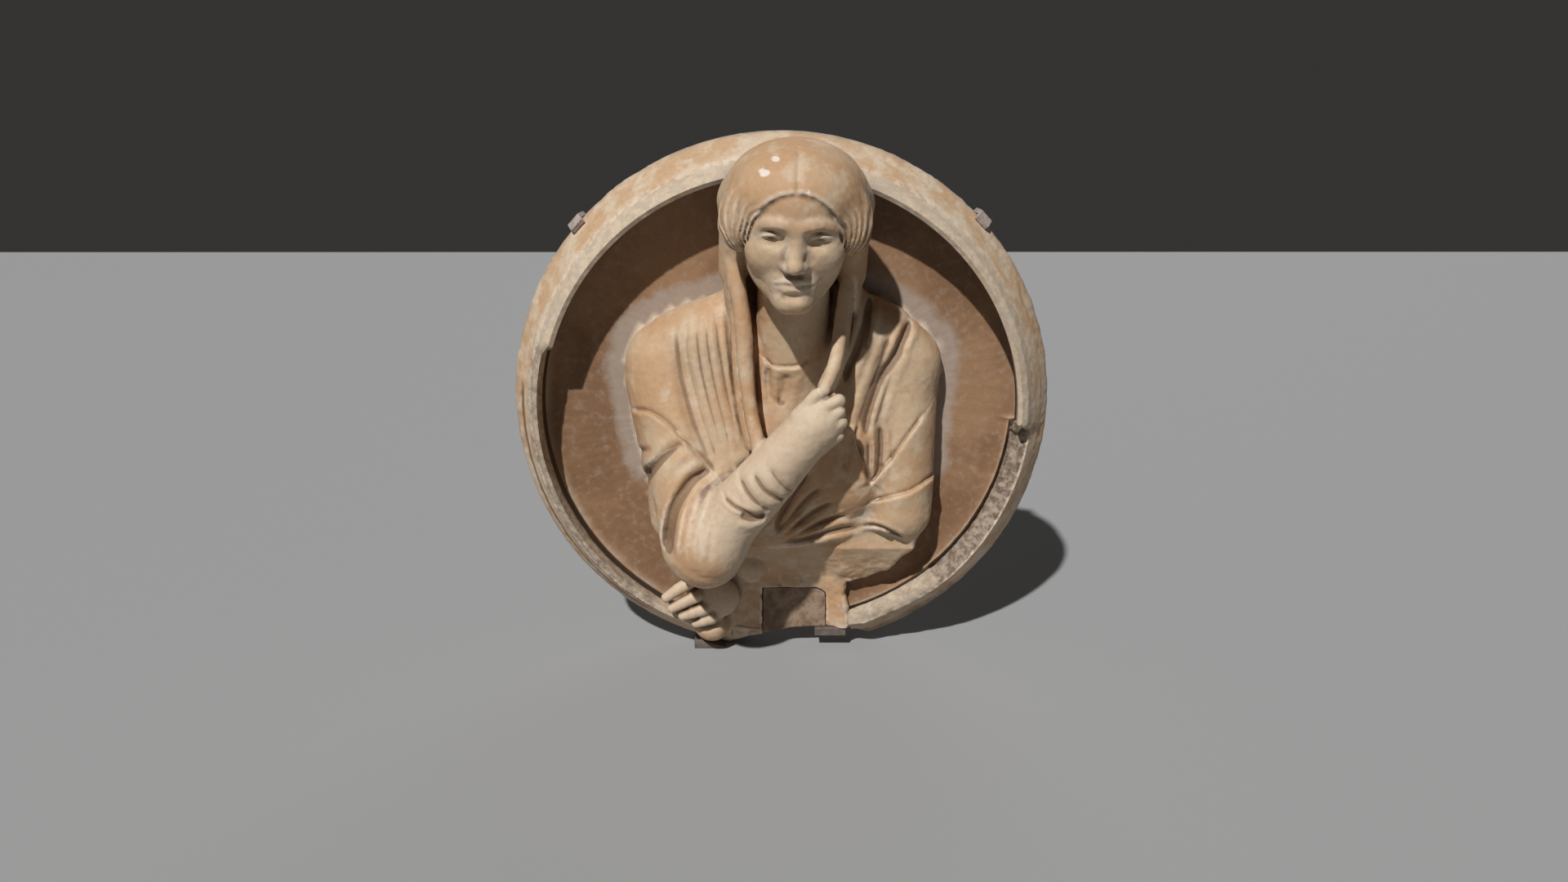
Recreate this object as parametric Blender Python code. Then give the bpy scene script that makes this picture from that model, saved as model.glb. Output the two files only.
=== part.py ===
"""Marble roundel with a veiled woman's bust in high relief, made to be fixed to a wall.

The slab is a disc in the XZ plane. Its back lies on the wall at y = 0, its front faces -Y, and
the centre of its back is the origin. The bust is one carving with the slab: it is worked out as
a soft solid, the signed distance from any point (x, out, z) to its surface, and then meshed.
The distance and the carving's places are in carving units, where the roundel's radius is 450 and
out is the height above the wall. Clips and supports hold the slab by its edge, and a block is
let into its broken lower edge.
"""

import math

import bpy
import numpy as np
import openvdb

# The slab and its rim
DIAMETER = 0.900
RADIUS = DIAMETER / 2
UNIT = RADIUS / 450
EDGE_THICKNESS = 0.045
FIELD_THICKNESS = 0.040
FIELD_EDGE_HEIGHT = 0.051
BACK_CHAMFER = 0.004
RIM_HEIGHT = 0.125
FASCIA_WIDTH = 0.037
FASCIA_HEIGHT = 0.100
LIP_WIDTH = 0.029
UNDERCUT = 0.008
BROKEN_RIM_HEIGHT = 0.092
LOWER_RIGHT_HEIGHT = 0.080
LOWER_EDGE_HEIGHT = 0.060

# The rim round the slab, anticlockwise from +X as seen: angle, share of the lip's width, height.
# The whole lip is left on the upper half, a narrow bead lower left, and a broken band lower right.
RIM_STATES = [
    (-80, 0.15, LOWER_EDGE_HEIGHT),
    (-75.5, 0.15, LOWER_EDGE_HEIGHT),
    (-73, 1.0, LOWER_RIGHT_HEIGHT),
    (-60, 1.0, LOWER_RIGHT_HEIGHT),
    (-48, 1.0, BROKEN_RIM_HEIGHT),
    (-3.5, 1.0, BROKEN_RIM_HEIGHT),
    (-2, 1.0, RIM_HEIGHT),
    (162, 1.0, RIM_HEIGHT),
    (163.5, 0.6, 0.92 * RIM_HEIGHT),
    (205, 0.6, 0.88 * RIM_HEIGHT),
    (235, 0.5, 1.06 * BROKEN_RIM_HEIGHT),
    (250, 0.3, BROKEN_RIM_HEIGHT),
    (258, 0.15, LOWER_EDGE_HEIGHT),
    (280, 0.15, LOWER_EDGE_HEIGHT),
]

# The break through the lower edge, as (x, z) in carving units, with a flat over the right support
FLAT_LEFT_X = 54
FLAT_RIGHT_X = 118
FLAT_Z = -402
BREAK_LINE = [
    (-100, -480), (-91, -436), (-60, -424), (-33, -416), (20, -405), (FLAT_LEFT_X, FLAT_Z),
    (FLAT_RIGHT_X, FLAT_Z), (126, -416), (160, -421), (186, -411), (205, -480),
]

# The block let into the break
INSERT_WIDTH = 0.112
INSERT_BACK = 0.012
INSERT_CENTRE_X = 22 * UNIT
INSERT_TOP = -326 * UNIT
INSERT_CORNER = 0.018
JOINT = 0.0008

# Fittings at the edge
CLEARANCE = 0.0003
CLIP_WIDTH = 0.026
CLIP_THICKNESS = 0.009
CLIP_LAP = 0.018
CLIP_ANGLES = {"upper_left_clip": 137.0, "upper_right_clip": 44.0}
SUPPORT_WIDTH = 0.056
SUPPORT_THICKNESS = 0.016
SUPPORT_DEPTH = 0.066
LEFT_SUPPORT_X = -129 * UNIT
RIGHT_SUPPORT_X = (FLAT_LEFT_X + FLAT_RIGHT_X) / 2 * UNIT

# Fineness of the meshes
CARVING_CELL = 6.0
CARVING_TRIANGLES = 6500
TURNED_STEPS = 72

CARVING_FIELD_OUT = 40
BURIED_OUT = 28


# Soft solids: signed distances from many points at once


FAR = 90.0


def vec(*values):
    return np.array(values, np.float32)


def ball(p, centre, radii):
    """Ellipsoid about centre."""
    q = p - vec(*centre)
    r = vec(*radii) if np.ndim(radii) else vec(radii, radii, radii)
    scaled = q / r
    near = np.sqrt((scaled * scaled).sum(1))
    far = np.sqrt(((scaled / r) ** 2).sum(1))
    return near * (near - 1.0) / np.maximum(far, 1e-6)


def limb(p, a, b, radius_a, radius_b, flat=1.0):
    """Round-ended rod from a to b, flatter than round where flat is under 1."""
    a, b = vec(*a), vec(*b)
    axis = b - a
    t = np.clip(((p - a) @ axis) / float(axis @ axis), 0.0, 1.0)
    q = p - a - t[:, None] * axis
    if flat != 1.0:
        q = q * vec(1.0, 1.0 / flat, 1.0)
    return np.sqrt((q * q).sum(1)) - (radius_a + t * (radius_b - radius_a))


def local(p, low, high, shape):
    """Distance to a shape that lies well between two corners, and a long way off elsewhere."""
    d = np.full(len(p), FAR, np.float32)
    near = ((p > vec(*low)) & (p < vec(*high))).all(1)
    if near.any():
        d[near] = shape(p[near])
    return d


def blend(a, b, k):
    """Union with a fillet about k wide."""
    h = np.maximum(k - np.abs(a - b), 0.0) / k
    return np.minimum(a, b) - h * h * k * 0.25


def cut(a, b, k):
    """What is left of a when b is taken away, with a rounded arris."""
    return -blend(-a, b, k)


def both(a, b, k):
    """What a and b share, with a rounded arris."""
    return -blend(-a, -b, k)


def outline_distance(p, outline):
    """Signed distance, on the front plane, to a closed outline of (x, z) points."""
    x, z = p[:, 0], p[:, 2]
    nearest = np.full(len(p), np.inf, np.float32)
    inside = np.zeros(len(p), bool)
    for (ax, az), (bx, bz) in zip(outline, outline[1:] + outline[:1]):
        ex, ez = bx - ax, bz - az
        t = np.clip(((x - ax) * ex + (z - az) * ez) / (ex * ex + ez * ez), 0, 1)
        nearest = np.minimum(nearest, np.hypot(x - ax - t * ex, z - az - t * ez))
        if ez:
            crosses = (az > z) != (bz > z)
            inside ^= crosses & (x < ax + (z - az) * ex / ez)
    return np.where(inside, -nearest, nearest)


def spline(points, count):
    """Points of a smooth curve through the given ones."""
    given = np.array(points, float)
    given = np.vstack([2 * given[0] - given[1], given, 2 * given[-1] - given[-2]])
    spans = len(given) - 3
    curve = []
    for i in range(count):
        place = i / (count - 1) * spans
        k = min(int(place), spans - 1)
        u = place - k
        a, b, c, d = given[k : k + 4]
        linear = (c - a) * u
        square = (2 * a - 5 * b + 4 * c - d) * u**2
        cube = (3 * b - a - 3 * c + d) * u**3
        curve.append(0.5 * (2 * b + linear + square + cube))
    return np.array(curve)


def tube(p, points, radii, count=8, k=0.0):
    """Rod of changing radius along a smooth curve."""
    path = spline(points, count)
    share = np.linspace(0, 1, count)
    r = np.interp(share, np.linspace(0, 1, len(radii)), radii)
    d = None
    for i in range(count - 1):
        part = limb(p, path[i], path[i + 1], r[i], r[i + 1])
        if d is None:
            d = part
        else:
            d = blend(d, part, k) if k else np.minimum(d, part)
    return d


# Folds of the drapery: strokes on the front plane, as (x, z) points in carving units

# First fold, last fold, crowding towards the first, then each fold's width and depth
FOLD_FAMILIES = {
    "cloak over the right breast": (
        [(-165, 165), (-164, 120), (-160, 80), (-150, 40), (-138, 0), (-122, -40), (-106, -85)],
        [(-88, 185), (-85, 145), (-79, 105), (-75, 75), (-70, 45), (-65, 10), (-61, -38)],
        1.0,
        [(9, 4), (5, 6), (6, 5), (4, 7), (4.5, 6), (4, 6)],
    ),
    "sleeve drawn to the right elbow": (
        [(-115, -66), (-140, -77), (-160, -100), (-175, -130), (-182, -170), (-184, -200)],
        [(-96, -102), (-101, -118), (-106, -138), (-110, -158), (-112, -178), (-113, -198)],
        1.5,
        [(7, 8), (5, 7), (4, 5), (4, 4), (3.5, 3), (3.5, 2.2), (3.5, 1.6)],
    ),
    "dress drawn under the breast": (
        [(-15, -200), (2, -155), (22, -112), (44, -78)],
        [(0, -220), (50, -202), (92, -192), (130, -189)],
        1.0,
        [(7, 5), (5, 4.5), (5, 4.5), (5, 4.5), (6, 6)],
    ),
}

# Path, width and depth
SINGLE_FOLDS = [
    ([(-150, -30), (-165, -33), (-190, -53), (-212, -82), (-230, -120), (-238, -165)], 7, 8),
    ([(-205, -40), (-228, -55), (-243, -80)], 6, 3),
    ([(103, 170), (102, 140), (98, 112)], 3.5, 3),
    ([(141, 198), (135, 172), (127, 145), (117, 115), (106, 90), (100, 65)], 7, 8),
    ([(138, 172), (136, 140), (132, 120)], 4, 5),
    ([(172, 142), (163, 115), (147, 70), (138, 50), (128, 20), (118, -14)], 5, 6),
    ([(206, 156), (195, 135), (172, 95), (155, 60), (138, 10), (134, -20)], 7, 10),
    ([(196, 118), (188, 100), (175, 70), (157, 12), (150, -12)], 6, 4),
    ([(158, -5), (161, -50), (158, -88)], 6, 5),
    ([(140, -30), (141, -65), (143, -98)], 4, 4),
    ([(112, -8), (106, -45), (100, -75)], 6, 4),
    ([(130, -188), (160, -183), (182, -190), (203, -206)], 4, 5),
    ([(-19, 100), (-19, 70), (-18, 38)], 4, 5),
    ([(-40, 104), (-41, 70), (-38, 30)], 4, 4),
    ([(8, 88), (4, 60), (-4, 30)], 9, 5),
    ([(-66, -60), (-50, -84), (-34, -102), (-18, -116)], 4, 5),
    ([(-44, -50), (-28, -74), (-8, -92), (4, -100)], 4, 5),
    ([(-20, -38), (-6, -60), (8, -78), (18, -86)], 3, 3),
    ([(-64, -116), (-44, -124), (-24, -121)], 8, 7),
    ([(-92, -92), (-74, -104), (-58, -111), (-44, -119)], 3.5, 4),
]

# Edges of an upper layer, which lies to the left of the path: path, rise and reach
LAYER_EDGES = [
    ([(-112, -70), (-150, -30), (-170, -8), (-185, 5), (-215, 17), (-248, 8)], 6, 26),
    ([(232, 6), (215, -15), (202, -32), (178, -68), (155, -95), (146, -106)], 6, 24),
    ([(258, -106), (240, -108), (210, -121), (190, -126), (147, -142)], 6, 22),
    ([(142, -104), (134, -85), (129, -62), (116, -20), (119, 0)], 7, 20),
    ([(45, 110), (28, 99), (5, 96), (-16, 97), (-30, 110)], 4, 20),
]

# The map of the folds: its lowest corner, its highest corner and its step
MAP_LOW = (-280.0, -300.0)
MAP_HIGH = (290.0, 260.0)
MAP_STEP = 1.0
MAP_AXES = [np.arange(low, high, MAP_STEP) for low, high in zip(MAP_LOW, MAP_HIGH)]


def family_folds(first, last, crowding, sizes):
    """Path, width and depth of each fold between the first and the last."""
    first, last = np.array(first, float), np.array(last, float)
    for k, (width, depth) in enumerate(sizes):
        share = (k / (len(sizes) - 1)) ** crowding
        yield first + share * (last - first), width, depth


def near_path(points, reach):
    """On the part of the map within reach of a path: distance, side (+1 left) and share along."""
    path = spline(points, 4 * len(points))
    window = []
    for i, axis in enumerate(MAP_AXES):
        start = np.searchsorted(axis, path[:, i].min() - reach)
        stop = np.searchsorted(axis, path[:, i].max() + reach)
        window.append(slice(start, stop))
    x, z = np.meshgrid(MAP_AXES[0][window[0]], MAP_AXES[1][window[1]], indexing="ij")
    best = np.full(x.shape, np.inf)
    side = np.zeros(x.shape)
    along = np.zeros(x.shape)
    spans = len(path) - 1
    for k in range(spans):
        (ax, az), (ex, ez) = path[k], path[k + 1] - path[k]
        t = np.clip(((x - ax) * ex + (z - az) * ez) / (ex * ex + ez * ez), 0, 1)
        gap = np.hypot(x - ax - t * ex, z - az - t * ez)
        nearer = gap < best
        best = np.where(nearer, gap, best)
        side = np.where(nearer, np.sign(ex * (z - az) - ez * (x - ax)), side)
        along = np.where(nearer, (k + t) / spans, along)
    return tuple(window), best, side, along


def fold_map():
    """The drapery's folds on a grid over the front plane: height over the smooth forms, and the
    height's slope as the length of a unit step laid along it."""
    height = np.zeros([len(axis) for axis in MAP_AXES])
    folds = list(SINGLE_FOLDS)
    for first, last, crowding, sizes in FOLD_FAMILIES.values():
        folds.extend(family_folds(first, last, crowding, sizes))
    for points, width, depth in folds:
        window, gap, _, along = near_path(points, 3 * width)
        fade = np.clip(np.minimum(along, 1 - along) * 6 + 0.15, 0, 1)
        valley = np.exp(-((gap / width) ** 1.5))
        crest = 0.35 * np.exp(-(((gap - 1.9 * width) / width) ** 2))
        height[window] += depth * fade * (crest - valley)
    for points, rise, reach in LAYER_EDGES:
        window, gap, side, along = near_path(points, 2.5 * reach)
        fade = np.clip(np.minimum(along, 1 - along) * 8 + 0.2, 0, 1)
        inward = gap * side
        layer = np.exp(-np.maximum(inward, 0) / reach) / (1 + np.exp(-(inward + 0.5) / 0.8))
        shade = 0.5 * np.exp(-(((inward + 3) / 4) ** 2))
        height[window] += rise * fade * (layer - shade)
    slope_x, slope_z = np.gradient(height, MAP_STEP)
    steepness = np.sqrt(1 + slope_x**2 + slope_z**2)
    return np.stack([height, steepness], -1).astype(np.float32)


def folds_at(p, folds):
    """Height and steepness of the folds at points p."""
    u = np.clip((p[:, 0] - MAP_LOW[0]) / MAP_STEP, 0, folds.shape[0] - 1.001)
    v = np.clip((p[:, 2] - MAP_LOW[1]) / MAP_STEP, 0, folds.shape[1] - 1.001)
    i, j = u.astype(int), v.astype(int)
    a, b = (u - i)[:, None], (v - j)[:, None]
    low = (1 - a) * folds[i, j] + a * folds[i + 1, j]
    high = (1 - a) * folds[i, j + 1] + a * folds[i + 1, j + 1]
    return ((1 - b) * low + b * high).T


# The head, in its own frame: x to its right as seen, y forward, z up, from between the ears

HEAD_PLACE = (20, 212, 319)
HEAD_NOD = math.radians(12)
HEAD_TILT = math.radians(2)
FACE_BREADTH = (1.1, 1.03, 1.0)


def to_head(p):
    """Points p in the head's frame."""
    nod_cos, nod_sin = math.cos(HEAD_NOD), math.sin(HEAD_NOD)
    right = np.array([math.cos(HEAD_TILT), 0, -math.sin(HEAD_TILT)])
    crown = np.array([math.sin(HEAD_TILT), 0, math.cos(HEAD_TILT)])
    out = np.array([0, 1.0, 0])
    forward = nod_cos * out - nod_sin * crown
    up = nod_sin * out + nod_cos * crown
    frame = np.array([right, forward, up], np.float32)
    return (p - vec(*HEAD_PLACE)) @ frame.T


def folded(h):
    """Both halves of the head laid on its right half."""
    return np.stack([np.abs(h[:, 0]), h[:, 1], h[:, 2]], 1)


def skull(h):
    half = folded(h)
    d = ball(h, (0, -6, 36), (74, 92, 80))
    d = blend(d, ball(h, (0, 36, 46), (60, 54, 46)), 24)
    d = blend(d, ball(h, (0, 34, -18), (60, 56, 80)), 24)
    jaw = limb(half, (36, 18, -52), (9, 68, -90), 26, 17)
    d = blend(d, jaw, 24)
    d = blend(d, ball(h, (0, 74, -88), (21, 19, 17)), 16)
    return blend(d, ball(half, (36, 58, -20), (27, 25, 30)), 20)


def eyes(h, d):
    half = folded(h)
    brow = tube(half, [(0, 88, 22), (20, 90, 26), (40, 78, 23), (56, 58, 8)], [7, 7, 6, 5], 7)
    upper_lid = [(13, 74, 0), (21, 82, 9), (31, 85, 12), (41, 81, 9), (50, 69, 0)]
    lower_lid = [(14, 74, -2), (23, 80, -7), (32, 82, -9), (41, 78, -7), (49, 69, -2)]
    d = blend(d, brow, 14)
    d = cut(d, ball(half, (31, 101, 5), (22, 21, 16)), 8)
    d = blend(d, ball(half, (31, 65, 1), (17, 17, 15)), 3)
    d = blend(d, tube(half, upper_lid, [2.2, 3.4, 2.2], 9), 3)
    return blend(d, tube(half, lower_lid, [1.8, 2.4, 1.8], 9), 4)


def nose(h, d):
    half = folded(h)
    d = blend(d, limb(h, (0, 81, 20), (0, 100, -26), 8, 9.5), 14)
    d = blend(d, ball(h, (0, 102, -30), (9, 9, 8.5)), 8)
    d = blend(d, ball(half, (10.5, 92, -33), (6.5, 10, 6.5)), 8)
    return cut(d, ball(half, (5.5, 99, -41), (3.2, 4.5, 2.6)), 3)


def mouth(h, d):
    half = folded(h)
    parting = tube(half, [(0, 97, -59), (12, 93.5, -58), (24, 84, -60)], [2.4, 2.2, 1.6], 7)
    upper_lip = tube(half, [(0, 91, -54), (10, 90, -53), (23, 82, -58)], [4.5, 4.2, 2.0], 7)
    lower_lip = tube(half, [(0, 89, -66), (9, 88, -66), (21, 81, -61)], [5.5, 5.0, 2.0], 7)
    d = blend(d, ball(h, (0, 70, -60), (30, 22, 22)), 14)
    d = cut(d, parting, 4)
    d = blend(d, upper_lip, 5)
    d = blend(d, lower_lip, 5)
    return cut(d, ball(h, (0, 96, -76), (13, 6, 5)), 7)


def face(h):
    h = h / vec(*FACE_BREADTH)
    return mouth(h, nose(h, eyes(h, skull(h))))


def face_opening(h):
    """Hollow in the hair through which the face looks out."""
    return ball(h, (0, 100, -12), (68, 64, 82))


def hair(h):
    """Hair parted over the brow and swept back over the ears."""
    crown = ball(h, (0, 4, 45), (98, 96, 74))
    over_ear = ball(folded(h), (80, 22, 8), (32, 42, 42))
    parting = 2.5 * np.exp(-((h[:, 0] / 4) ** 2)) * (h[:, 1] > 20)
    return cut(blend(crown, over_ear, 26) + parting, face_opening(h), 6)


def veil_over_head(h):
    d = ball(h, (0, -18, 38), (106, 92, 82))
    fall = limb(folded(h), (86, -40, 20), (90, -60, -90), 28, 24)
    return blend(d, fall, 30)


def head(p):
    h = to_head(p).astype(np.float32)
    d = blend(face(h), hair(h), 3)
    return blend(d, veil_over_head(h), 4)


# The body, in the carving's own frame: x, out and z

# The lower edge of the dress and of the left sleeve, as (x, z)
GARMENT_EDGE = [
    (-300, -420), (-110, -340), (-78, -262), (-50, -234), (0, -226), (60, -219), (104, -211),
    (118, -202), (140, -193), (165, -191), (190, -199), (219, -217), (262, -232),
]

# Outline of what is left of the forearm and lap, as (x, z)
LAP_OUTLINE = [
    (-70, -225), (60, -200), (222, -205), (227, -231), (203, -258), (189, -277), (172, -289),
    (147, -302), (116, -311), (112, -336), (119, -360), (120, -412), (-92, -425), (-96, -300),
]

# Height of the broken lap at each z
LAP_HEIGHTS = [(-430, 56), (-400, 60), (-330, 66), (-290, 82), (-240, 112), (-215, 126)]


def trunk(p):
    d = ball(p, (12, 42, -25), (190, 124, 195))
    yoke = [(-192, 58, 90), (-140, 74, 120), (0, 96, 120), (150, 76, 128), (200, 60, 82)]
    d = blend(d, tube(p, yoke, [61, 54, 52, 54, 60], 10), 40)
    d = blend(d, limb(p, (-145, 68, 118), (-75, 92, 178), 52, 34), 30)
    d = blend(d, limb(p, (152, 68, 124), (100, 92, 186), 52, 36), 30)
    d = blend(d, limb(p, (-112, 88, 110), (-98, 128, -130), 56, 54), 40)
    d = blend(d, ball(p, (40, 58, -190), (120, 66, 66)), 40)
    return blend(d, limb(p, (125, 84, 110), (112, 100, -110), 54, 52), 40)


def neck(p):
    return limb(p, (19, 100, 40), (18, 160, 250), 62, 54)


def left_sleeve(p):
    return limb(p, (198, 66, 78), (194, 84, -168), 60, 60)


def dress(p):
    """Dress and left sleeve, down to their lower edge."""
    d = blend(trunk(p), left_sleeve(p), 20)
    xs, zs = zip(*GARMENT_EDGE)
    below = (np.interp(p[:, 0], xs, zs).astype(np.float32) - p[:, 2]) * 0.93
    return both(d, below, 7)


def right_arm(p):
    d = limb(p, (-188, 72, 80), (-140, 168, -190), 62, 56)
    d = blend(d, limb(p, (-195, 58, 50), (-180, 64, -190), 57, 46), 40)
    d = blend(d, limb(p, (-122, 190, -206), (-118, 196, -196), 57, 54), 30)
    return blend(d, limb(p, (-112, 196, -180), (52, 222, 20), 52, 38), 30)


def broken_lap(p):
    """Stone left of the left forearm and the lap, and lumps by the break."""
    zs, heights = zip(*LAP_HEIGHTS)
    height = np.interp(p[:, 2], zs, heights).astype(np.float32)
    height += 9 * np.clip((p[:, 0] - 78) / 24, 0, 1)
    d = both(outline_distance(p, LAP_OUTLINE), (p[:, 1] - height) * 0.93, 8)
    d = blend(d, ball(p, (-54, 76, -275), (30, 24, 32)), 6)
    return blend(d, ball(p, (-124, 64, -394), (32, 38, 28)), 14)


def veil_edges(p):
    """The veil's two free edges, and the cloth behind them, from the head to the breast."""
    left_path = [(-76, 146, 300), (-70, 160, 243), (-59, 170, 162), (-56, 178, 100),
                 (-48, 188, 30), (-35, 202, -24)]
    right_path = [(114, 138, 300), (103, 152, 240), (94, 170, 187), (88, 186, 145),
                  (80, 210, 108), (64, 234, 76)]
    sheet_depth = 24
    left = tube(p, left_path, [12, 12, 14, 12, 11, 12], 12)
    left = blend(left, tube(p + vec(8, sheet_depth, 0), left_path, [12, 15], 12), 10)
    left = blend(left, ball(p, (-78, 100, 240), (14, 66, 80)), 8)
    right = tube(p, right_path, [12, 12, 11, 11, 11, 9], 12)
    right = blend(right, tube(p + vec(-5, sheet_depth, 0), right_path, [12, 14], 12), 10)
    right = blend(right, ball(p, (114, 100, 240), (14, 62, 80)), 8)
    return np.minimum(left, right)


def right_hand(p):
    """Fist that holds the veil's edge: palm, four bent fingers and the thumb."""
    d = limb(p, (30, 220, -8), (60, 226, 26), 36, 32, 0.8)
    d = blend(d, ball(p, (68, 222, 34), (29, 24, 38)), 14)
    fingers = [((42, 238, 38), (86, 240, 62)), ((54, 240, 20), (87, 239, 44)),
               ((60, 238, 2), (90, 236, 26)), ((58, 232, -16), (86, 228, 4))]
    for root, tip in fingers:
        d = blend(d, limb(p, root, tip, 10.5, 10), 3)
    gaps = [((68, 257, 40), (97, 254, 59)), ((73, 257, 23), (101, 253, 43)),
            ((76, 252, 4), (102, 248, 21))]
    for root, tip in gaps:
        d = cut(d, limb(p, root, tip, 3.5, 6), 5)
    return blend(d, limb(p, (26, 230, 34), (52, 234, 68), 12, 10), 6)


def left_hand(p):
    """Hand that comes out under the right elbow, its fingers fanned over the rim."""
    d = ball(p, (-122, 86, -336), (48, 28, 50))
    d = blend(d, ball(p, (-96, 84, -340), (26, 26, 32)), 8)
    roots = [(-158, 104, -296), (-148, 108, -321), (-136, 108, -345), (-122, 102, -364)]
    tips = [(-199, 108, -323), (-189, 110, -342), (-171, 109, -357), (-149, 102, -374)]
    for root, tip in zip(roots, tips):
        middle = (0.5 * (root[0] + tip[0]), root[1] + 5, 0.5 * (root[2] + tip[2]) + 2)
        d = blend(d, limb(p, root, middle, 11.5, 10), 5)
        d = blend(d, limb(p, middle, tip, 10, 8.5), 2)
    return d


def bust(p, folds):
    """Signed distance to the whole carving, which stands on the field of the slab."""
    drapery = blend(dress(p), right_arm(p), 14)
    drapery = blend(drapery, neck(p), 16)
    height, steepness = folds_at(p, folds)
    d = (drapery - height) / steepness
    d = blend(d, local(p, (-180, 15, -470), (290, 180, -150), broken_lap), 14)
    d = blend(d, local(p, (-150, 60, -80), (190, 300, 370), veil_edges), 6)
    d = blend(d, local(p, (-40, 140, -90), (190, 340, 170), right_hand), 6)
    d = blend(d, local(p, (-280, 20, -440), (-20, 200, -220), left_hand), 10)
    d = blend(d, local(p, (-180, 15, 140), (220, 400, 500), head), 8)
    return np.maximum(d, BURIED_OUT - p[:, 1])


# Meshes


def mesh_object(name, points, faces, material=None):
    mesh = bpy.data.meshes.new(name)
    mesh.from_pydata([tuple(v) for v in points], [], [tuple(f) for f in faces])
    mesh.update()
    thing = bpy.data.objects.new(name, mesh)
    bpy.context.collection.objects.link(thing)
    if material:
        mesh.materials.append(material)
    return thing


def carved_mesh(name, distance, low, high, cell, coarse=4):
    """Object whose surface is where distance is zero, sampled only near that surface."""
    low, high = np.array(low, float), np.array(high, float)
    step = cell * coarse
    count = np.ceil((high - low) / step).astype(int) + 1
    axes = [low[i] + step * np.arange(count[i]) for i in range(3)]
    corners = np.stack(np.meshgrid(*axes, indexing="ij"), -1).reshape(-1, 3)
    rough = distance(corners.astype(np.float32)).reshape(count)
    near = np.abs(rough) < 2.2 * step
    block = np.zeros(count - 1, bool)
    for corner in np.ndindex(2, 2, 2):
        block |= near[tuple(slice(c, c + n - 1) for c, n in zip(corner, count))]
    inside = np.where(rough[:-1, :-1, :-1] < 0, -step, step).astype(np.float32)
    for axis in range(3):
        block = block.repeat(coarse, axis)
        inside = inside.repeat(coarse, axis)
    fine = np.argwhere(block)
    inside[block] = distance((low + fine * cell).astype(np.float32))
    volume = openvdb.FloatGrid(float(step))
    volume.copyFromArray(inside)
    points, quads = volume.convertToQuads(0.0)
    points = low + points * cell
    world = points * UNIT * np.array([1, -1, 1])
    world[:, 1] -= FIELD_THICKNESS - CARVING_FIELD_OUT * UNIT
    return mesh_object(name, world, quads[:, ::-1])


def turned(name, profile_at, steps, material=None):
    """Closed body of revolution about Y whose profile, as (radius, height), changes with angle."""
    points = [(0, 0, 0)]
    for i in range(steps):
        angle = math.tau * i / steps
        for radius, height in profile_at(math.degrees(angle)):
            points.append((radius * math.cos(angle), -height, radius * math.sin(angle)))
    points.append((0, -FIELD_THICKNESS, 0))
    rings = (len(points) - 2) // steps
    faces = []
    for i in range(steps):
        here, after = 1 + i * rings, 1 + (i + 1) % steps * rings
        faces.append((0, here, after))
        for k in range(rings - 1):
            faces.append((here + k, here + k + 1, after + k + 1, after + k))
        faces.append((len(points) - 1, after + rings - 1, here + rings - 1))
    return mesh_object(name, points, faces, material)


def shell_faces(n):
    """Faces of a solid between two like outlines of n points, the near one first."""
    faces = [tuple(range(n)), tuple(range(2 * n - 1, n - 1, -1))]
    for i in range(n):
        j = (i + 1) % n
        faces.append((i, i + n, j + n, j))
    return faces


def prism(name, outline, near, far, material=None):
    """Outline in the XZ plane, as (x, z) anticlockwise as seen, between two heights."""
    points = [(x, -far, z) for x, z in outline] + [(x, -near, z) for x, z in outline]
    return mesh_object(name, points, shell_faces(len(outline)), material)


def hide(tool):
    tool.hide_render = True
    tool.display_type = "WIRE"
    return tool


def combine(thing, tool, operation):
    modifier = thing.modifiers.new(operation.lower() + " " + tool.name, "BOOLEAN")
    modifier.operation = operation
    modifier.object = tool
    modifier.solver = "EXACT"


def thin_out(thing, triangles):
    faces = thing.data.polygons
    now = sum(len(face.vertices) - 2 for face in faces)
    modifier = thing.modifiers.new("fewer triangles", "DECIMATE")
    modifier.ratio = min(1.0, triangles / now)


def finish(name, colour, roughness, metallic=0.0):
    material = bpy.data.materials.new(name)
    material.use_nodes = True
    shader = material.node_tree.nodes["Principled BSDF"]
    shader.inputs["Base Color"].default_value = (*colour, 1.0)
    shader.inputs["Roughness"].default_value = roughness
    shader.inputs["Metallic"].default_value = metallic
    return material


# The slab


def rim_profile(lip_share, height):
    """Profile of the slab's edge and rim, as (inset from the radius, height above the wall)."""
    fascia_top = min(FASCIA_HEIGHT, height)
    inner = FASCIA_WIDTH + lip_share * LIP_WIDTH
    slot = lip_share * UNDERCUT
    drop = height - FIELD_EDGE_HEIGHT
    return [
        (BACK_CHAMFER, 0),
        (0, BACK_CHAMFER),
        (0, EDGE_THICKNESS),
        (0.5 * FASCIA_WIDTH, EDGE_THICKNESS + 0.52 * (fascia_top - EDGE_THICKNESS)),
        (FASCIA_WIDTH, fascia_top),
        (FASCIA_WIDTH + 0.4 * (inner - FASCIA_WIDTH), fascia_top + 0.7 * (height - fascia_top)),
        (FASCIA_WIDTH + 0.78 * (inner - FASCIA_WIDTH), height),
        (inner, height - 0.06 * drop),
        (inner - slot, height - 0.5 * drop),
        (inner - 0.4 * slot, height - 0.85 * drop),
        (FASCIA_WIDTH + LIP_WIDTH + 0.3 * drop, FIELD_EDGE_HEIGHT - 0.03 * drop),
    ]


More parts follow.
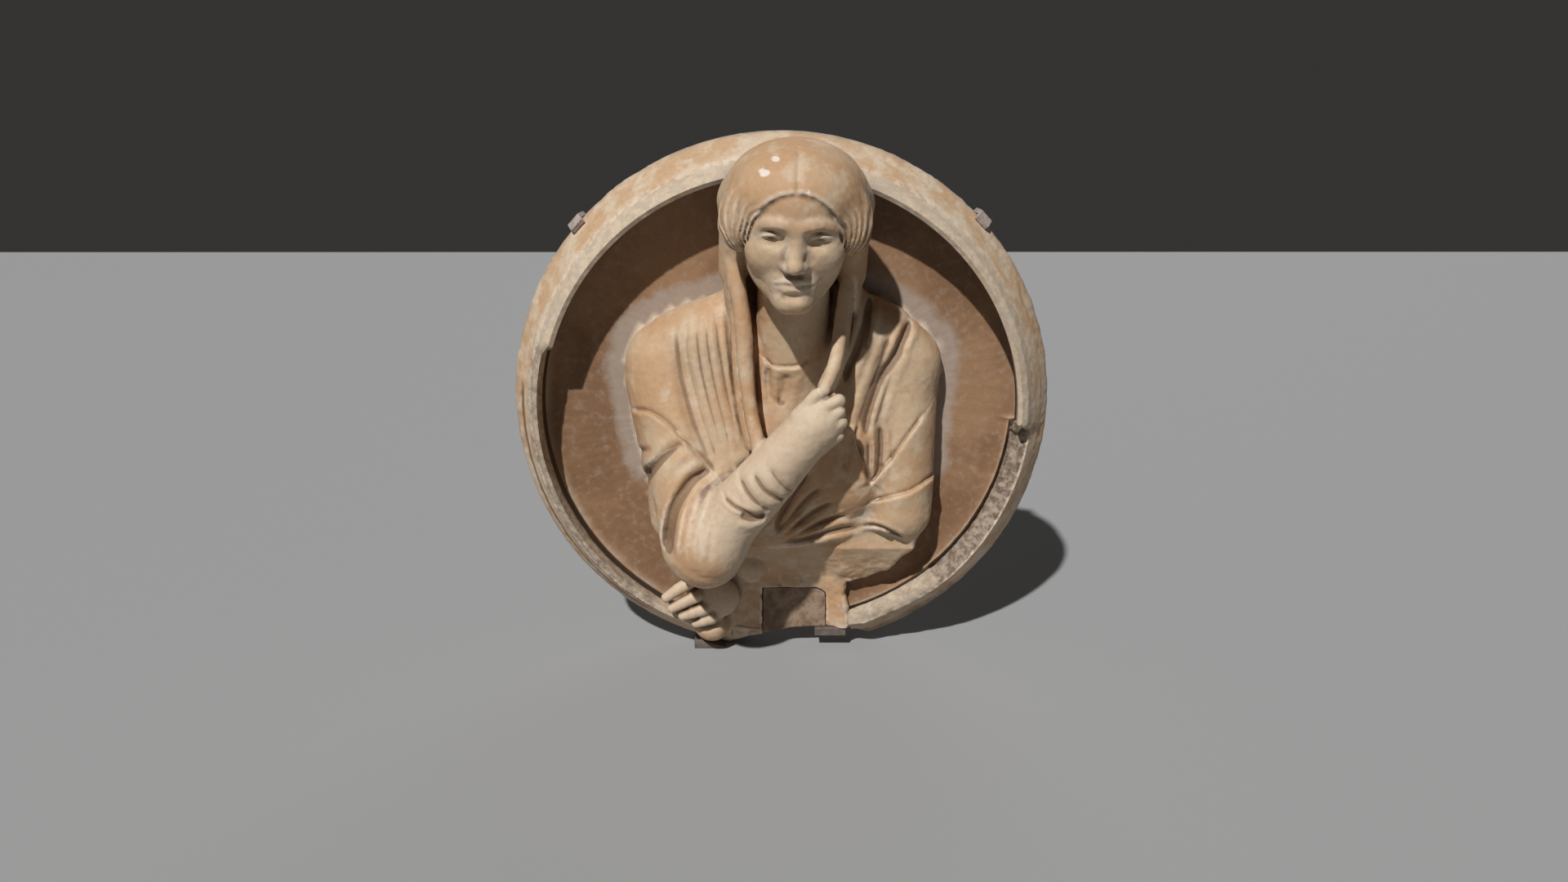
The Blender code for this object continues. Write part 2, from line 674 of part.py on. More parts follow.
def slab_profile(angle):
    """Profile at an angle, from the back's edge over the rim and in over the hollow field."""
    turn = (angle + 80) % 360 - 80
    angles, shares, heights = zip(*RIM_STATES)
    share = float(np.interp(turn, angles, shares))
    height = float(np.interp(turn, angles, heights))
    profile = [(RADIUS - inset, h) for inset, h in rim_profile(share, height)]
    hollow = FIELD_EDGE_HEIGHT - FIELD_THICKNESS
    for radius_share in (0.62, 0.34):
        profile.append((radius_share * RADIUS, FIELD_THICKNESS + hollow * radius_share**2))
    return profile


def insert_outline(margin):
    """The inset block seen from the front, with its rounded upper right corner."""
    left = INSERT_CENTRE_X - INSERT_WIDTH / 2 - margin
    right = INSERT_CENTRE_X + INSERT_WIDTH / 2 + margin
    top = INSERT_TOP + margin
    low = -RADIUS
    corner = INSERT_CORNER + margin
    outline = [(left, low), (right, low)]
    for step in range(5):
        turn = math.radians(90 * step / 4)
        x = right - corner + corner * math.cos(turn)
        outline.append((x, top - corner + corner * math.sin(turn)))
    outline.append((left, top))
    return outline


def broken_away():
    line = [(x * UNIT, z * UNIT) for x, z in BREAK_LINE]
    return hide(prism("broken_away", line[::-1], -0.01, RIM_HEIGHT + 0.01))


def marble_roundel(stone, gap):
    folds = fold_map()
    carving = carved_mesh("carving", lambda p: bust(p, folds), (-300, 15, -445), (300, 360, 470),
                          CARVING_CELL)
    thin_out(carving, CARVING_TRIANGLES)
    hide(carving)
    seat = hide(prism("insert_seat", insert_outline(JOINT), INSERT_BACK - JOINT, RIM_HEIGHT))
    roundel = turned("marble_roundel", slab_profile, TURNED_STEPS, stone)
    combine(roundel, carving, "UNION")
    combine(roundel, gap, "DIFFERENCE")
    combine(roundel, seat, "DIFFERENCE")
    return roundel


def repair_insert(stone, gap):
    block = prism("repair_insert", insert_outline(0), INSERT_BACK, LOWER_EDGE_HEIGHT, stone)
    combine(block, gap, "DIFFERENCE")
    return block


# The fittings


def clip(name, angle, metal):
    """Small block clip up the slab's edge, hooked over the fascia."""
    (low_inset, low), (high_inset, high) = rim_profile(1.0, RIM_HEIGHT)[2:4]
    slope = math.atan2(high - low, high_inset - low_inset)
    along = (math.cos(slope), math.sin(slope))
    away = (-math.sin(slope), math.cos(slope))
    side = -CLEARANCE
    inner = (side, low + CLEARANCE * math.tan((math.pi / 2 - slope) / 2))
    tip = (inner[0] + CLIP_LAP * along[0], inner[1] + CLIP_LAP * along[1])
    outer_tip = (tip[0] + CLIP_THICKNESS * away[0], tip[1] + CLIP_THICKNESS * away[1])
    outer_side = side - CLIP_THICKNESS
    shoulder = outer_tip[1] - (outer_tip[0] - outer_side) * along[1] / along[0]
    section = [(side, 0), inner, tip, outer_tip, (outer_side, shoulder), (outer_side, 0)]
    points = []
    for half in (0.5, -0.5):
        points += [(RADIUS - inset, -height, half * CLIP_WIDTH) for inset, height in section]
    body = mesh_object(name, points, shell_faces(len(section)), metal)
    body.rotation_euler = (0, -math.radians(angle), 0)
    return body


def support(name, centre_x, top, metal):
    """Pad under the slab's edge, standing out from the wall."""
    left, right = centre_x - SUPPORT_WIDTH / 2, centre_x + SUPPORT_WIDTH / 2
    low = top - SUPPORT_THICKNESS
    outline = [(left, low), (right, low), (right, top), (left, top)]
    return prism(name, outline, 0, SUPPORT_DEPTH, metal)


def left_support(metal):
    """The left pad is hollowed to the round edge that it carries."""
    edge = -math.sqrt(RADIUS**2 - LEFT_SUPPORT_X**2)
    rise = SUPPORT_WIDTH / 2 * abs(LEFT_SUPPORT_X / edge)
    pad = support("lower_left_support", LEFT_SUPPORT_X, edge + rise / 2, metal)
    sides = 2 * TURNED_STEPS
    reach = (RADIUS + CLEARANCE) / math.cos(math.pi / sides)
    ring = []
    for i in range(sides):
        turn = math.tau * i / sides
        ring.append((reach * math.cos(turn), reach * math.sin(turn)))
    combine(pad, hide(prism("round_edge", ring, -0.01, SUPPORT_DEPTH + 0.01)), "DIFFERENCE")


def right_support(metal):
    support("lower_right_support", RIGHT_SUPPORT_X, FLAT_Z * UNIT - CLEARANCE, metal)


def main():
    for thing in list(bpy.data.objects):
        bpy.data.objects.remove(thing)
    marble = finish("marble", (0.62, 0.48, 0.34), 0.62)
    insert_stone = finish("insert_stone", (0.42, 0.29, 0.19), 0.75)
    fitting = finish("fitting", (0.42, 0.38, 0.39), 0.6)
    gap = broken_away()
    marble_roundel(marble, gap)
    repair_insert(insert_stone, gap)
    for name, angle in CLIP_ANGLES.items():
        clip(name, angle, fitting)
    left_support(fitting)
    right_support(fitting)


main()
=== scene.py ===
"""Looks of the marble roundel: the carved bust, the worn slab and rim, the block let into the
break and the fittings, with their stone and paint, in the places of the plain solids.

The carving is a soft solid, the signed distance from any point (x, out, z) to its surface, in
carving units, where the roundel's radius is 450 and out is the height above the wall.
"""

import math

import bpy
import numpy as np
import openvdb
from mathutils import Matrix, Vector


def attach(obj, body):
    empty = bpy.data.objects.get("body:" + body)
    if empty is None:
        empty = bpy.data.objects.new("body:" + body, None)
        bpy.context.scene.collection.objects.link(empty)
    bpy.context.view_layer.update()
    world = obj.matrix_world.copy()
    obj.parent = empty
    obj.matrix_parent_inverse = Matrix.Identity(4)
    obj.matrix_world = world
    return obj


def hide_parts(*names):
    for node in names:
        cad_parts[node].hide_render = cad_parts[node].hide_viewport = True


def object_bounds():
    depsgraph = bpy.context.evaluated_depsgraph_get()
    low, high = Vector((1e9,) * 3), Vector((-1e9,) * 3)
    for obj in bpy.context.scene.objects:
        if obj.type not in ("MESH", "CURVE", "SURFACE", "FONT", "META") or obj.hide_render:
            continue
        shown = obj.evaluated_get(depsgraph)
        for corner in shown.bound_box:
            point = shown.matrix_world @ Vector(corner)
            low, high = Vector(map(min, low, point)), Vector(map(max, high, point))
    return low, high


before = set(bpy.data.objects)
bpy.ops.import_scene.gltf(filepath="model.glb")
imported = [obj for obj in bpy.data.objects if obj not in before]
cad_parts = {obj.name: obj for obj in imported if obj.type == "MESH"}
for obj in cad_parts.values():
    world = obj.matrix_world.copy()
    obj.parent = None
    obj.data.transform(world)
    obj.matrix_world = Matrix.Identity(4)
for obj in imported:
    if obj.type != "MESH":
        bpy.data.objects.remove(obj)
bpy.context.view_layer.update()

# The slab and its rim
DIAMETER = 0.900
RADIUS = DIAMETER / 2
UNIT = RADIUS / 450
EDGE_THICKNESS = 0.045
FIELD_THICKNESS = 0.040
FIELD_EDGE_HEIGHT = 0.051
BACK_CHAMFER = 0.004
RIM_HEIGHT = 0.125
FASCIA_WIDTH = 0.037
FASCIA_HEIGHT = 0.100
LIP_WIDTH = 0.029
BROKEN_RIM_HEIGHT = 0.092
LOWER_RIGHT_HEIGHT = 0.080
LOWER_EDGE_HEIGHT = 0.060

# The rim, anticlockwise from +X as seen: angle, share of the lip's width, height. The whole lip
# is left above, a narrow bead lower left, and a broken band lower right.
RIM_STATES = [
    (-80, 0.15, LOWER_EDGE_HEIGHT),
    (-75.5, 0.15, LOWER_EDGE_HEIGHT),
    (-73, 1.0, LOWER_RIGHT_HEIGHT),
    (-60, 1.0, LOWER_RIGHT_HEIGHT),
    (-48, 1.0, BROKEN_RIM_HEIGHT),
    (-3.5, 1.0, BROKEN_RIM_HEIGHT),
    (-2, 1.0, RIM_HEIGHT),
    (162, 1.0, RIM_HEIGHT),
    (163.5, 0.6, 0.92 * RIM_HEIGHT),
    (205, 0.6, 0.88 * RIM_HEIGHT),
    (235, 0.5, 1.06 * BROKEN_RIM_HEIGHT),
    (250, 0.3, BROKEN_RIM_HEIGHT),
    (258, 0.15, LOWER_EDGE_HEIGHT),
    (280, 0.15, LOWER_EDGE_HEIGHT),
]

# The break through the lower edge, as (x, z) in carving units, flat over the right support
FLAT_LEFT_X = 54
FLAT_RIGHT_X = 118
FLAT_Z = -402
BREAK_LINE = [
    (-100, -480), (-91, -436), (-60, -424), (-33, -416), (20, -405), (FLAT_LEFT_X, FLAT_Z),
    (FLAT_RIGHT_X, FLAT_Z), (126, -416), (160, -421), (186, -411), (205, -480),
]

# The block let into the break, and the width of its seam
INSERT_WIDTH = 0.112
INSERT_BACK = 0.012
INSERT_CENTRE_X = 22 * UNIT
INSERT_TOP = -326 * UNIT
INSERT_CORNER = 0.018
JOINT = 0.0008

# Heights of the field under the carving and of the carving's buried back
CARVING_FIELD_OUT = 40
BURIED_OUT = 28


# Soft solids: signed distances from many points at once

# Distance given to points well away from a local shape
FAR = 90.0


def vec(*values):
    return np.array(values, np.float32)


def ball(p, centre, radii):
    """Ellipsoid about centre."""
    q = p - vec(*centre)
    r = vec(*radii) if np.ndim(radii) else vec(radii, radii, radii)
    scaled = q / r
    near = np.sqrt((scaled * scaled).sum(1))
    far = np.sqrt(((scaled / r) ** 2).sum(1))
    return near * (near - 1.0) / np.maximum(far, 1e-6)


def limb(p, a, b, radius_a, radius_b, flat=1.0):
    """Round-ended rod from a to b, flatter than round where flat is under 1."""
    a, b = vec(*a), vec(*b)
    axis = b - a
    t = np.clip(((p - a) @ axis) / float(axis @ axis), 0.0, 1.0)
    q = p - a - t[:, None] * axis
    if flat != 1.0:
        q = q * vec(1.0, 1.0 / flat, 1.0)
    return np.sqrt((q * q).sum(1)) - (radius_a + t * (radius_b - radius_a))


def local(p, low, high, shape):
    """Distance to a shape that lies well between two corners, and a long way off elsewhere."""
    d = np.full(len(p), FAR, np.float32)
    near = ((p > vec(*low)) & (p < vec(*high))).all(1)
    if near.any():
        d[near] = shape(p[near])
    return d


def blend(a, b, k):
    """Union with a fillet about k wide."""
    h = np.maximum(k - np.abs(a - b), 0.0) / k
    return np.minimum(a, b) - h * h * k * 0.25


def both(a, b, k):
    """What a and b share, with a rounded arris."""
    return -blend(-a, -b, k)


def cut(a, b, k):
    """What is left of a when b is taken away."""
    return both(a, -b, k)


def off_line(x, z, ax, az, ex, ez):
    """Distance from the straight line that runs (ex, ez) from (ax, az), and share along it."""
    t = np.clip(((x - ax) * ex + (z - az) * ez) / (ex * ex + ez * ez), 0, 1)
    return np.hypot(x - ax - t * ex, z - az - t * ez), t


def outline_distance(p, outline):
    """Signed distance, on the front plane, to a closed outline of (x, z) points."""
    x, z = p[:, 0], p[:, 2]
    nearest = np.full(len(p), np.inf, np.float32)
    inside = np.zeros(len(p), bool)
    for (ax, az), (bx, bz) in zip(outline, outline[1:] + outline[:1]):
        ex, ez = bx - ax, bz - az
        nearest = np.minimum(nearest, off_line(x, z, ax, az, ex, ez)[0])
        if ez:
            crosses = (az > z) != (bz > z)
            inside ^= crosses & (x < ax + (z - az) * ex / ez)
    return np.where(inside, -nearest, nearest)


def spline(points, count):
    """Points of a smooth curve through the given ones."""
    given = np.array(points, float)
    given = np.vstack([2 * given[0] - given[1], given, 2 * given[-1] - given[-2]])
    spans = len(given) - 3
    curve = []
    for i in range(count):
        place = i / (count - 1) * spans
        k = min(int(place), spans - 1)
        u = place - k
        a, b, c, d = given[k : k + 4]
        linear = (c - a) * u
        square = (2 * a - 5 * b + 4 * c - d) * u**2
        cube = (3 * b - a - 3 * c + d) * u**3
        curve.append(0.5 * (2 * b + linear + square + cube))
    return np.array(curve)


def tube(p, points, radii, count):
    """Rod of changing radius along a smooth curve of count points."""
    path = spline(points, count)
    share = np.linspace(0, 1, count)
    r = np.interp(share, np.linspace(0, 1, len(radii)), radii)
    d = limb(p, path[0], path[1], r[0], r[1])
    for i in range(1, count - 1):
        d = np.minimum(d, limb(p, path[i], path[i + 1], r[i], r[i + 1]))
    return d


# Folds of the drapery: strokes on the front plane, as (x, z) points in carving units

# First and last fold, crowding towards the first, and each fold's width and depth
FOLD_FAMILIES = {
    "cloak over the right breast": (
        [(-165, 165), (-164, 120), (-160, 80), (-150, 40), (-138, 0), (-122, -40), (-106, -85)],
        [(-88, 185), (-85, 145), (-79, 105), (-75, 75), (-70, 45), (-65, 10), (-61, -38)],
        1.0,
        [(9, 3.5), (6, 4), (7, 4), (5.5, 4.5), (6, 4), (5.5, 4)],
    ),
    "sleeve drawn to the right elbow": (
        [(-115, -66), (-140, -77), (-160, -100), (-175, -130), (-182, -170), (-184, -200)],
        [(-96, -102), (-101, -118), (-106, -138), (-110, -158), (-112, -178), (-113, -198)],
        1.5,
        [(8, 6), (7, 5), (6, 3.5), (5.5, 3), (5, 2.5), (5, 2), (5, 1.6)],
    ),
    "dress drawn under the breast": (
        [(-15, -200), (2, -155), (22, -112), (44, -78)],
        [(0, -220), (50, -202), (92, -192), (130, -189)],
        1.0,
        [(7, 5), (5, 4.5), (5, 4.5), (5, 4.5), (6, 6)],
    ),
}

# Path, width and depth
SINGLE_FOLDS = [
    ([(-150, -30), (-165, -33), (-190, -53), (-212, -82), (-230, -120), (-238, -165)], 8, 6),
    ([(-205, -40), (-228, -55), (-243, -80)], 6, 3),
    ([(103, 170), (102, 140), (98, 112)], 3.5, 3),
    ([(141, 198), (135, 172), (127, 145), (117, 115), (106, 90), (100, 65)], 7, 8),
    ([(138, 172), (136, 140), (132, 120)], 5, 4),
    ([(172, 142), (163, 115), (147, 70), (138, 50), (128, 20), (118, -14)], 6.5, 6),
    ([(206, 156), (195, 135), (172, 95), (155, 60), (138, 10), (134, -20)], 7, 10),
    ([(196, 118), (188, 100), (175, 70), (157, 12), (150, -12)], 6, 4),
    ([(158, -5), (161, -50), (158, -88)], 6, 5),
    ([(140, -30), (141, -65), (143, -98)], 4, 4),
    ([(112, -8), (106, -45), (100, -75)], 6, 4),
    ([(130, -188), (160, -183), (182, -190), (203, -206)], 4, 5),
    ([(-19, 100), (-19, 70), (-18, 38)], 5, 4),
    ([(-40, 104), (-41, 70), (-38, 30)], 5, 3.5),
    ([(8, 88), (4, 60), (-4, 30)], 9, 5),
    ([(-66, -60), (-50, -84), (-34, -102), (-18, -116)], 5, 4),
    ([(-44, -50), (-28, -74), (-8, -92), (4, -100)], 5, 4),
    ([(-20, -38), (-6, -60), (8, -78), (18, -86)], 5, 2.5),
    ([(-64, -116), (-44, -124), (-24, -121)], 8, 7),
    ([(-92, -92), (-74, -104), (-58, -111), (-44, -119)], 3.5, 4),
]

# Edges of an upper layer, left of the path: path, rise and reach
LAYER_EDGES = [
    ([(-112, -70), (-150, -30), (-170, -8), (-185, 5), (-215, 17), (-248, 8)], 6, 26),
    ([(232, 6), (215, -15), (202, -32), (178, -68), (155, -95), (146, -106)], 6, 24),
    ([(258, -106), (240, -108), (210, -121), (190, -126), (147, -142)], 6, 22),
    ([(142, -104), (134, -85), (129, -62), (116, -20), (119, 0)], 7, 20),
    ([(45, 110), (28, 99), (5, 96), (-16, 97), (-30, 110)], 4, 20),
]

# The map of the folds: its lowest corner, its highest corner and its step
MAP_LOW = (-280.0, -300.0)
MAP_HIGH = (290.0, 260.0)
MAP_STEP = 1.0
MAP_AXES = [np.arange(low, high, MAP_STEP) for low, high in zip(MAP_LOW, MAP_HIGH)]


def family_folds(first, last, crowding, sizes):
    """Path, width and depth of each fold from first to last."""
    first, last = np.array(first, float), np.array(last, float)
    for k, (width, depth) in enumerate(sizes):
        share = (k / (len(sizes) - 1)) ** crowding
        yield first + share * (last - first), width, depth


def near_path(points, reach):
    """On the part of the map within reach of a path: distance, side (+1 left) and share along."""
    path = spline(points, 4 * len(points))
    window = []
    for i, axis in enumerate(MAP_AXES):
        start = np.searchsorted(axis, path[:, i].min() - reach)
        stop = np.searchsorted(axis, path[:, i].max() + reach)
        window.append(slice(start, stop))
    x, z = np.meshgrid(MAP_AXES[0][window[0]], MAP_AXES[1][window[1]], indexing="ij")
    best = np.full(x.shape, np.inf)
    side = np.zeros(x.shape)
    along = np.zeros(x.shape)
    spans = len(path) - 1
    for k in range(spans):
        (ax, az), (ex, ez) = path[k], path[k + 1] - path[k]
        gap, t = off_line(x, z, ax, az, ex, ez)
        nearer = gap < best
        best = np.where(nearer, gap, best)
        side = np.where(nearer, np.sign(ex * (z - az) - ez * (x - ax)), side)
        along = np.where(nearer, (k + t) / spans, along)
    return tuple(window), best, side, along


def fold_map():
    """The drapery's folds on a grid over the front plane: height over the smooth forms, and the
    height's slope as the length of a unit step laid along it."""
    height = np.zeros([len(axis) for axis in MAP_AXES])
    folds = list(SINGLE_FOLDS)
    for family in FOLD_FAMILIES.values():
        folds.extend(family_folds(*family))
    for points, width, depth in folds:
        window, gap, _, along = near_path(points, 3 * width)
        fade = np.clip(np.minimum(along, 1 - along) * 6 + 0.15, 0, 1)
        valley = np.exp(-((gap / width) ** 1.5))
        crest = 0.35 * np.exp(-(((gap - 1.9 * width) / width) ** 2))
        height[window] += depth * fade * (crest - valley)
    for points, rise, reach in LAYER_EDGES:
        window, gap, side, along = near_path(points, 2.5 * reach)
        fade = np.clip(np.minimum(along, 1 - along) * 8 + 0.2, 0, 1)
        inward = gap * side
        layer = np.exp(-np.maximum(inward, 0) / reach) / (1 + np.exp(-(inward + 0.5) / 0.8))
        shade = 0.5 * np.exp(-(((inward + 3) / 4) ** 2))
        height[window] += rise * fade * (layer - shade)
    slope_x, slope_z = np.gradient(height, MAP_STEP)
    steepness = np.sqrt(1 + slope_x**2 + slope_z**2)
    return np.stack([height, steepness], -1).astype(np.float32)


def folds_at(p, folds):
    """Height and steepness of the folds at points p."""
    u = np.clip((p[:, 0] - MAP_LOW[0]) / MAP_STEP, 0, folds.shape[0] - 1.001)
    v = np.clip((p[:, 2] - MAP_LOW[1]) / MAP_STEP, 0, folds.shape[1] - 1.001)
    i, j = u.astype(int), v.astype(int)
    a, b = (u - i)[:, None], (v - j)[:, None]
    low = (1 - a) * folds[i, j] + a * folds[i + 1, j]
    high = (1 - a) * folds[i, j + 1] + a * folds[i + 1, j + 1]
    return ((1 - b) * low + b * high).T


# The head, in its own frame: x to its right as seen, y forward, z up, from between the ears

HEAD_PLACE = (20, 212, 319)
HEAD_NOD = math.radians(12)
HEAD_TILT = math.radians(2)
FACE_SCALE = (1.1, 1.03, 1.0)


def to_head(p):
    """Points p in the head's frame."""
    right = np.array([math.cos(HEAD_TILT), 0, -math.sin(HEAD_TILT)])
    crown = np.array([math.sin(HEAD_TILT), 0, math.cos(HEAD_TILT)])
    out = np.array([0, 1.0, 0])
    forward = math.cos(HEAD_NOD) * out - math.sin(HEAD_NOD) * crown
    up = math.sin(HEAD_NOD) * out + math.cos(HEAD_NOD) * crown
    axes = np.array([right, forward, up], np.float32)
    return (p - vec(*HEAD_PLACE)) @ axes.T


def folded(h):
    """Both halves of the head laid on its right half."""
    return np.stack([np.abs(h[:, 0]), h[:, 1], h[:, 2]], 1)


def skull(h):
    half = folded(h)
    d = ball(h, (0, -6, 36), (74, 92, 80))
    d = blend(d, ball(h, (0, 36, 46), (60, 54, 46)), 24)
    d = blend(d, ball(h, (0, 34, -18), (60, 56, 80)), 24)
    jaw = limb(half, (36, 18, -52), (9, 68, -90), 26, 17)
    d = blend(d, jaw, 24)
    d = blend(d, ball(h, (0, 74, -88), (21, 19, 17)), 16)
    return blend(d, ball(half, (36, 58, -20), (27, 25, 30)), 20)


def eyes(h, d):
    half = folded(h)
    brow = tube(half, [(0, 88, 22), (20, 90, 26), (40, 78, 23), (56, 58, 8)], [7, 7, 6, 5], 7)
    upper_lid = [(13, 74, 0), (21, 82, 9), (31, 85, 12), (41, 81, 9), (50, 69, 0)]
    lower_lid = [(14, 74, -2), (23, 80, -7), (32, 82, -9), (41, 78, -7), (49, 69, -2)]
    d = blend(d, brow, 14)
    d = cut(d, ball(half, (31, 101, 5), (22, 21, 16)), 8)
    d = blend(d, ball(half, (31, 65, 1), (17, 17, 15)), 3)
    d = blend(d, tube(half, upper_lid, [2.2, 3.4, 2.2], 9), 3)
    return blend(d, tube(half, lower_lid, [1.8, 2.4, 1.8], 9), 4)


def nose(h, d):
    half = folded(h)
    d = blend(d, limb(h, (0, 81, 20), (0, 100, -26), 8, 9.5), 14)
    d = blend(d, ball(h, (0, 102, -30), (9, 9, 8.5)), 8)
    d = blend(d, ball(half, (10.5, 92, -33), (6.5, 10, 6.5)), 8)
    return cut(d, ball(half, (5.5, 99, -41), (3.2, 4.5, 2.6)), 3)


def mouth(h, d):
    half = folded(h)
    parting = tube(half, [(0, 97, -59), (12, 93.5, -58), (24, 84, -60)], [2.4, 2.2, 1.6], 7)
    upper_lip = tube(half, [(0, 91, -54), (10, 90, -53), (23, 82, -58)], [4.5, 4.2, 2.0], 7)
    lower_lip = tube(half, [(0, 89, -66), (9, 88, -66), (21, 81, -61)], [5.5, 5.0, 2.0], 7)
    d = blend(d, ball(h, (0, 70, -60), (30, 22, 22)), 14)
    d = cut(d, parting, 4)
    d = blend(d, upper_lip, 5)
    d = blend(d, lower_lip, 5)
    return cut(d, ball(h, (0, 96, -76), (13, 6, 5)), 7)


def face(h):
    h = h / vec(*FACE_SCALE)
    return mouth(h, nose(h, eyes(h, skull(h))))


def face_opening(h):
    """Hollow in the hair through which the face looks out."""
    return ball(h, (0, 100, -12), (68, 64, 82))


def hair(h):
    """Hair parted over the brow and swept back over the ears."""
    crown = ball(h, (0, 4, 45), (98, 96, 74))
    over_ear = ball(folded(h), (80, 22, 8), (32, 42, 42))
    parting = 2.5 * np.exp(-((h[:, 0] / 4) ** 2)) * (h[:, 1] > 20)
    return cut(blend(crown, over_ear, 26) + parting, face_opening(h), 6)


def veil_over_head(h):
    """Cap of the veil and its fall behind each cheek."""
    d = ball(h, (0, -18, 38), (106, 92, 82))
    fall = limb(folded(h), (86, -40, 20), (90, -60, -90), 28, 24)
    return blend(d, fall, 30)


def head(p):
    h = to_head(p).astype(np.float32)
    d = blend(face(h), hair(h), 3)
    return blend(d, veil_over_head(h), 4)


# The body, in the carving's own frame: x, out and z

# The lower edge of the dress and of the left sleeve, as (x, z)
GARMENT_EDGE = [
    (-300, -420), (-110, -340), (-78, -262), (-50, -234), (0, -226), (60, -219), (104, -211),
    (118, -202), (140, -193), (165, -191), (190, -199), (219, -217), (262, -232),
]

# Outline of what is left of the forearm and lap, as (x, z)
LAP_OUTLINE = [
    (-70, -200), (60, -165), (222, -165), (227, -231), (203, -258), (189, -277), (172, -289),
    (147, -302), (116, -311), (112, -336), (119, -360), (120, -412), (-92, -425), (-96, -300),
]

# Height of the broken lap at each z
LAP_HEIGHTS = [(-430, 56), (-400, 58), (-335, 62), (-300, 68), (-262, 88), (-230, 106), (-205, 106)]


def trunk(p):
    """Chest, shoulders and breasts under the dress."""
    d = ball(p, (12, 42, -25), (190, 124, 195))
    yoke = [(-192, 58, 90), (-140, 74, 120), (0, 96, 120), (150, 76, 128), (200, 60, 82)]
    d = blend(d, tube(p, yoke, [61, 54, 52, 54, 60], 10), 40)
    d = blend(d, limb(p, (-145, 68, 118), (-75, 92, 178), 52, 34), 30)
    d = blend(d, limb(p, (152, 68, 124), (100, 92, 186), 52, 36), 30)
    d = blend(d, limb(p, (-112, 88, 110), (-98, 128, -130), 56, 54), 40)
    d = blend(d, ball(p, (48, 64, -192), (118, 68, 66)), 40)
    return blend(d, limb(p, (125, 84, 110), (112, 100, -110), 54, 52), 40)


def neck(p):
    return limb(p, (19, 100, 40), (18, 160, 250), 62, 54)


def left_sleeve(p):
    return limb(p, (198, 66, 78), (194, 84, -168), 60, 60)


def dress(p):
    """Dress and left sleeve, down to their lower edge."""
    d = blend(trunk(p), left_sleeve(p), 20)
    xs, zs = zip(*GARMENT_EDGE)
    below = (np.interp(p[:, 0], xs, zs).astype(np.float32) - p[:, 2]) * 0.93
    return both(d, below, 7)


def right_arm(p):
    """Wide sleeve, the elbow and the forearm raised across the breast."""
    d = limb(p, (-188, 72, 80), (-140, 168, -190), 62, 56)
    d = blend(d, limb(p, (-195, 58, 50), (-180, 64, -190), 57, 46), 40)
    d = blend(d, limb(p, (-122, 190, -206), (-118, 196, -196), 57, 54), 30)
    return blend(d, limb(p, (-112, 196, -180), (52, 222, 20), 52, 38), 30)


def broken_lap(p):
    """Stone left of the left forearm and the lap, and lumps by the break."""
    zs, heights = zip(*LAP_HEIGHTS)
    height = np.interp(p[:, 2], zs, heights).astype(np.float32)
    height += 9 * np.clip((p[:, 0] - 78) / 24, 0, 1)
    d = both(outline_distance(p, LAP_OUTLINE), (p[:, 1] - height) * 0.93, 8)
    d = blend(d, ball(p, (-54, 76, -275), (30, 24, 32)), 6)
    return blend(d, ball(p, (-124, 64, -394), (32, 38, 28)), 14)


def veil_edges(p):
    """The veil's two free edges, and the cloth behind them, from the head to the breast."""
    left = [(-76, 146, 300), (-70, 160, 243), (-59, 170, 162), (-56, 178, 100), (-48, 188, 30),
            (-35, 202, -24)]
    right = [(114, 138, 300), (103, 152, 240), (94, 170, 187), (88, 186, 145), (80, 210, 108),
             (64, 234, 76)]
    edges = []
    for path, radii, behind, sheet, fall, spread in (
        (left, [12, 12, 14, 12, 11, 12], (8, 24, 0), [12, 15], (-78, 100, 240), (14, 66, 80)),
        (right, [12, 12, 11, 11, 11, 9], (-5, 24, 0), [12, 14], (114, 100, 240), (14, 62, 80)),
    ):
        d = blend(tube(p, path, radii, 12), tube(p + vec(*behind), path, sheet, 12), 10)
        edges.append(blend(d, ball(p, fall, spread), 8))
    return np.minimum(*edges)


def right_hand(p):
    """Fist that holds the veil's edge: palm, four bent fingers and the thumb."""
    d = limb(p, (30, 220, -8), (60, 226, 26), 36, 32, 0.8)
    d = blend(d, ball(p, (68, 222, 34), (29, 24, 38)), 14)
    fingers = [((42, 238, 38), (86, 240, 62)), ((54, 240, 20), (87, 239, 44)),
               ((60, 238, 2), (90, 236, 26)), ((58, 232, -16), (86, 228, 4))]
    for root, tip in fingers:
        d = blend(d, limb(p, root, tip, 10.5, 10), 3)
    gaps = [((68, 257, 40), (97, 254, 59)), ((73, 257, 23), (101, 253, 43)),
            ((76, 252, 4), (102, 248, 21))]
    for root, tip in gaps:
        d = cut(d, limb(p, root, tip, 3.5, 6), 5)
    return blend(d, limb(p, (26, 230, 34), (52, 234, 68), 12, 10), 6)


def left_hand(p):
    """Hand that comes out under the right elbow, its fingers fanned over the rim."""
    d = ball(p, (-124, 82, -332), (43, 26, 44))
    d = blend(d, ball(p, (-100, 80, -336), (24, 22, 28)), 14)
    roots = [(-158, 104, -296), (-148, 108, -321), (-136, 108, -345), (-122, 102, -364)]
    tips = [(-199, 108, -323), (-189, 110, -342), (-171, 109, -357), (-149, 102, -374)]
    for root, tip in zip(roots, tips):
        middle = (0.5 * (root[0] + tip[0]), root[1] + 5, 0.5 * (root[2] + tip[2]) + 2)
        d = blend(d, limb(p, root, middle, 11.5, 10), 5)
        d = blend(d, limb(p, middle, tip, 10, 8.5), 2)
    return d


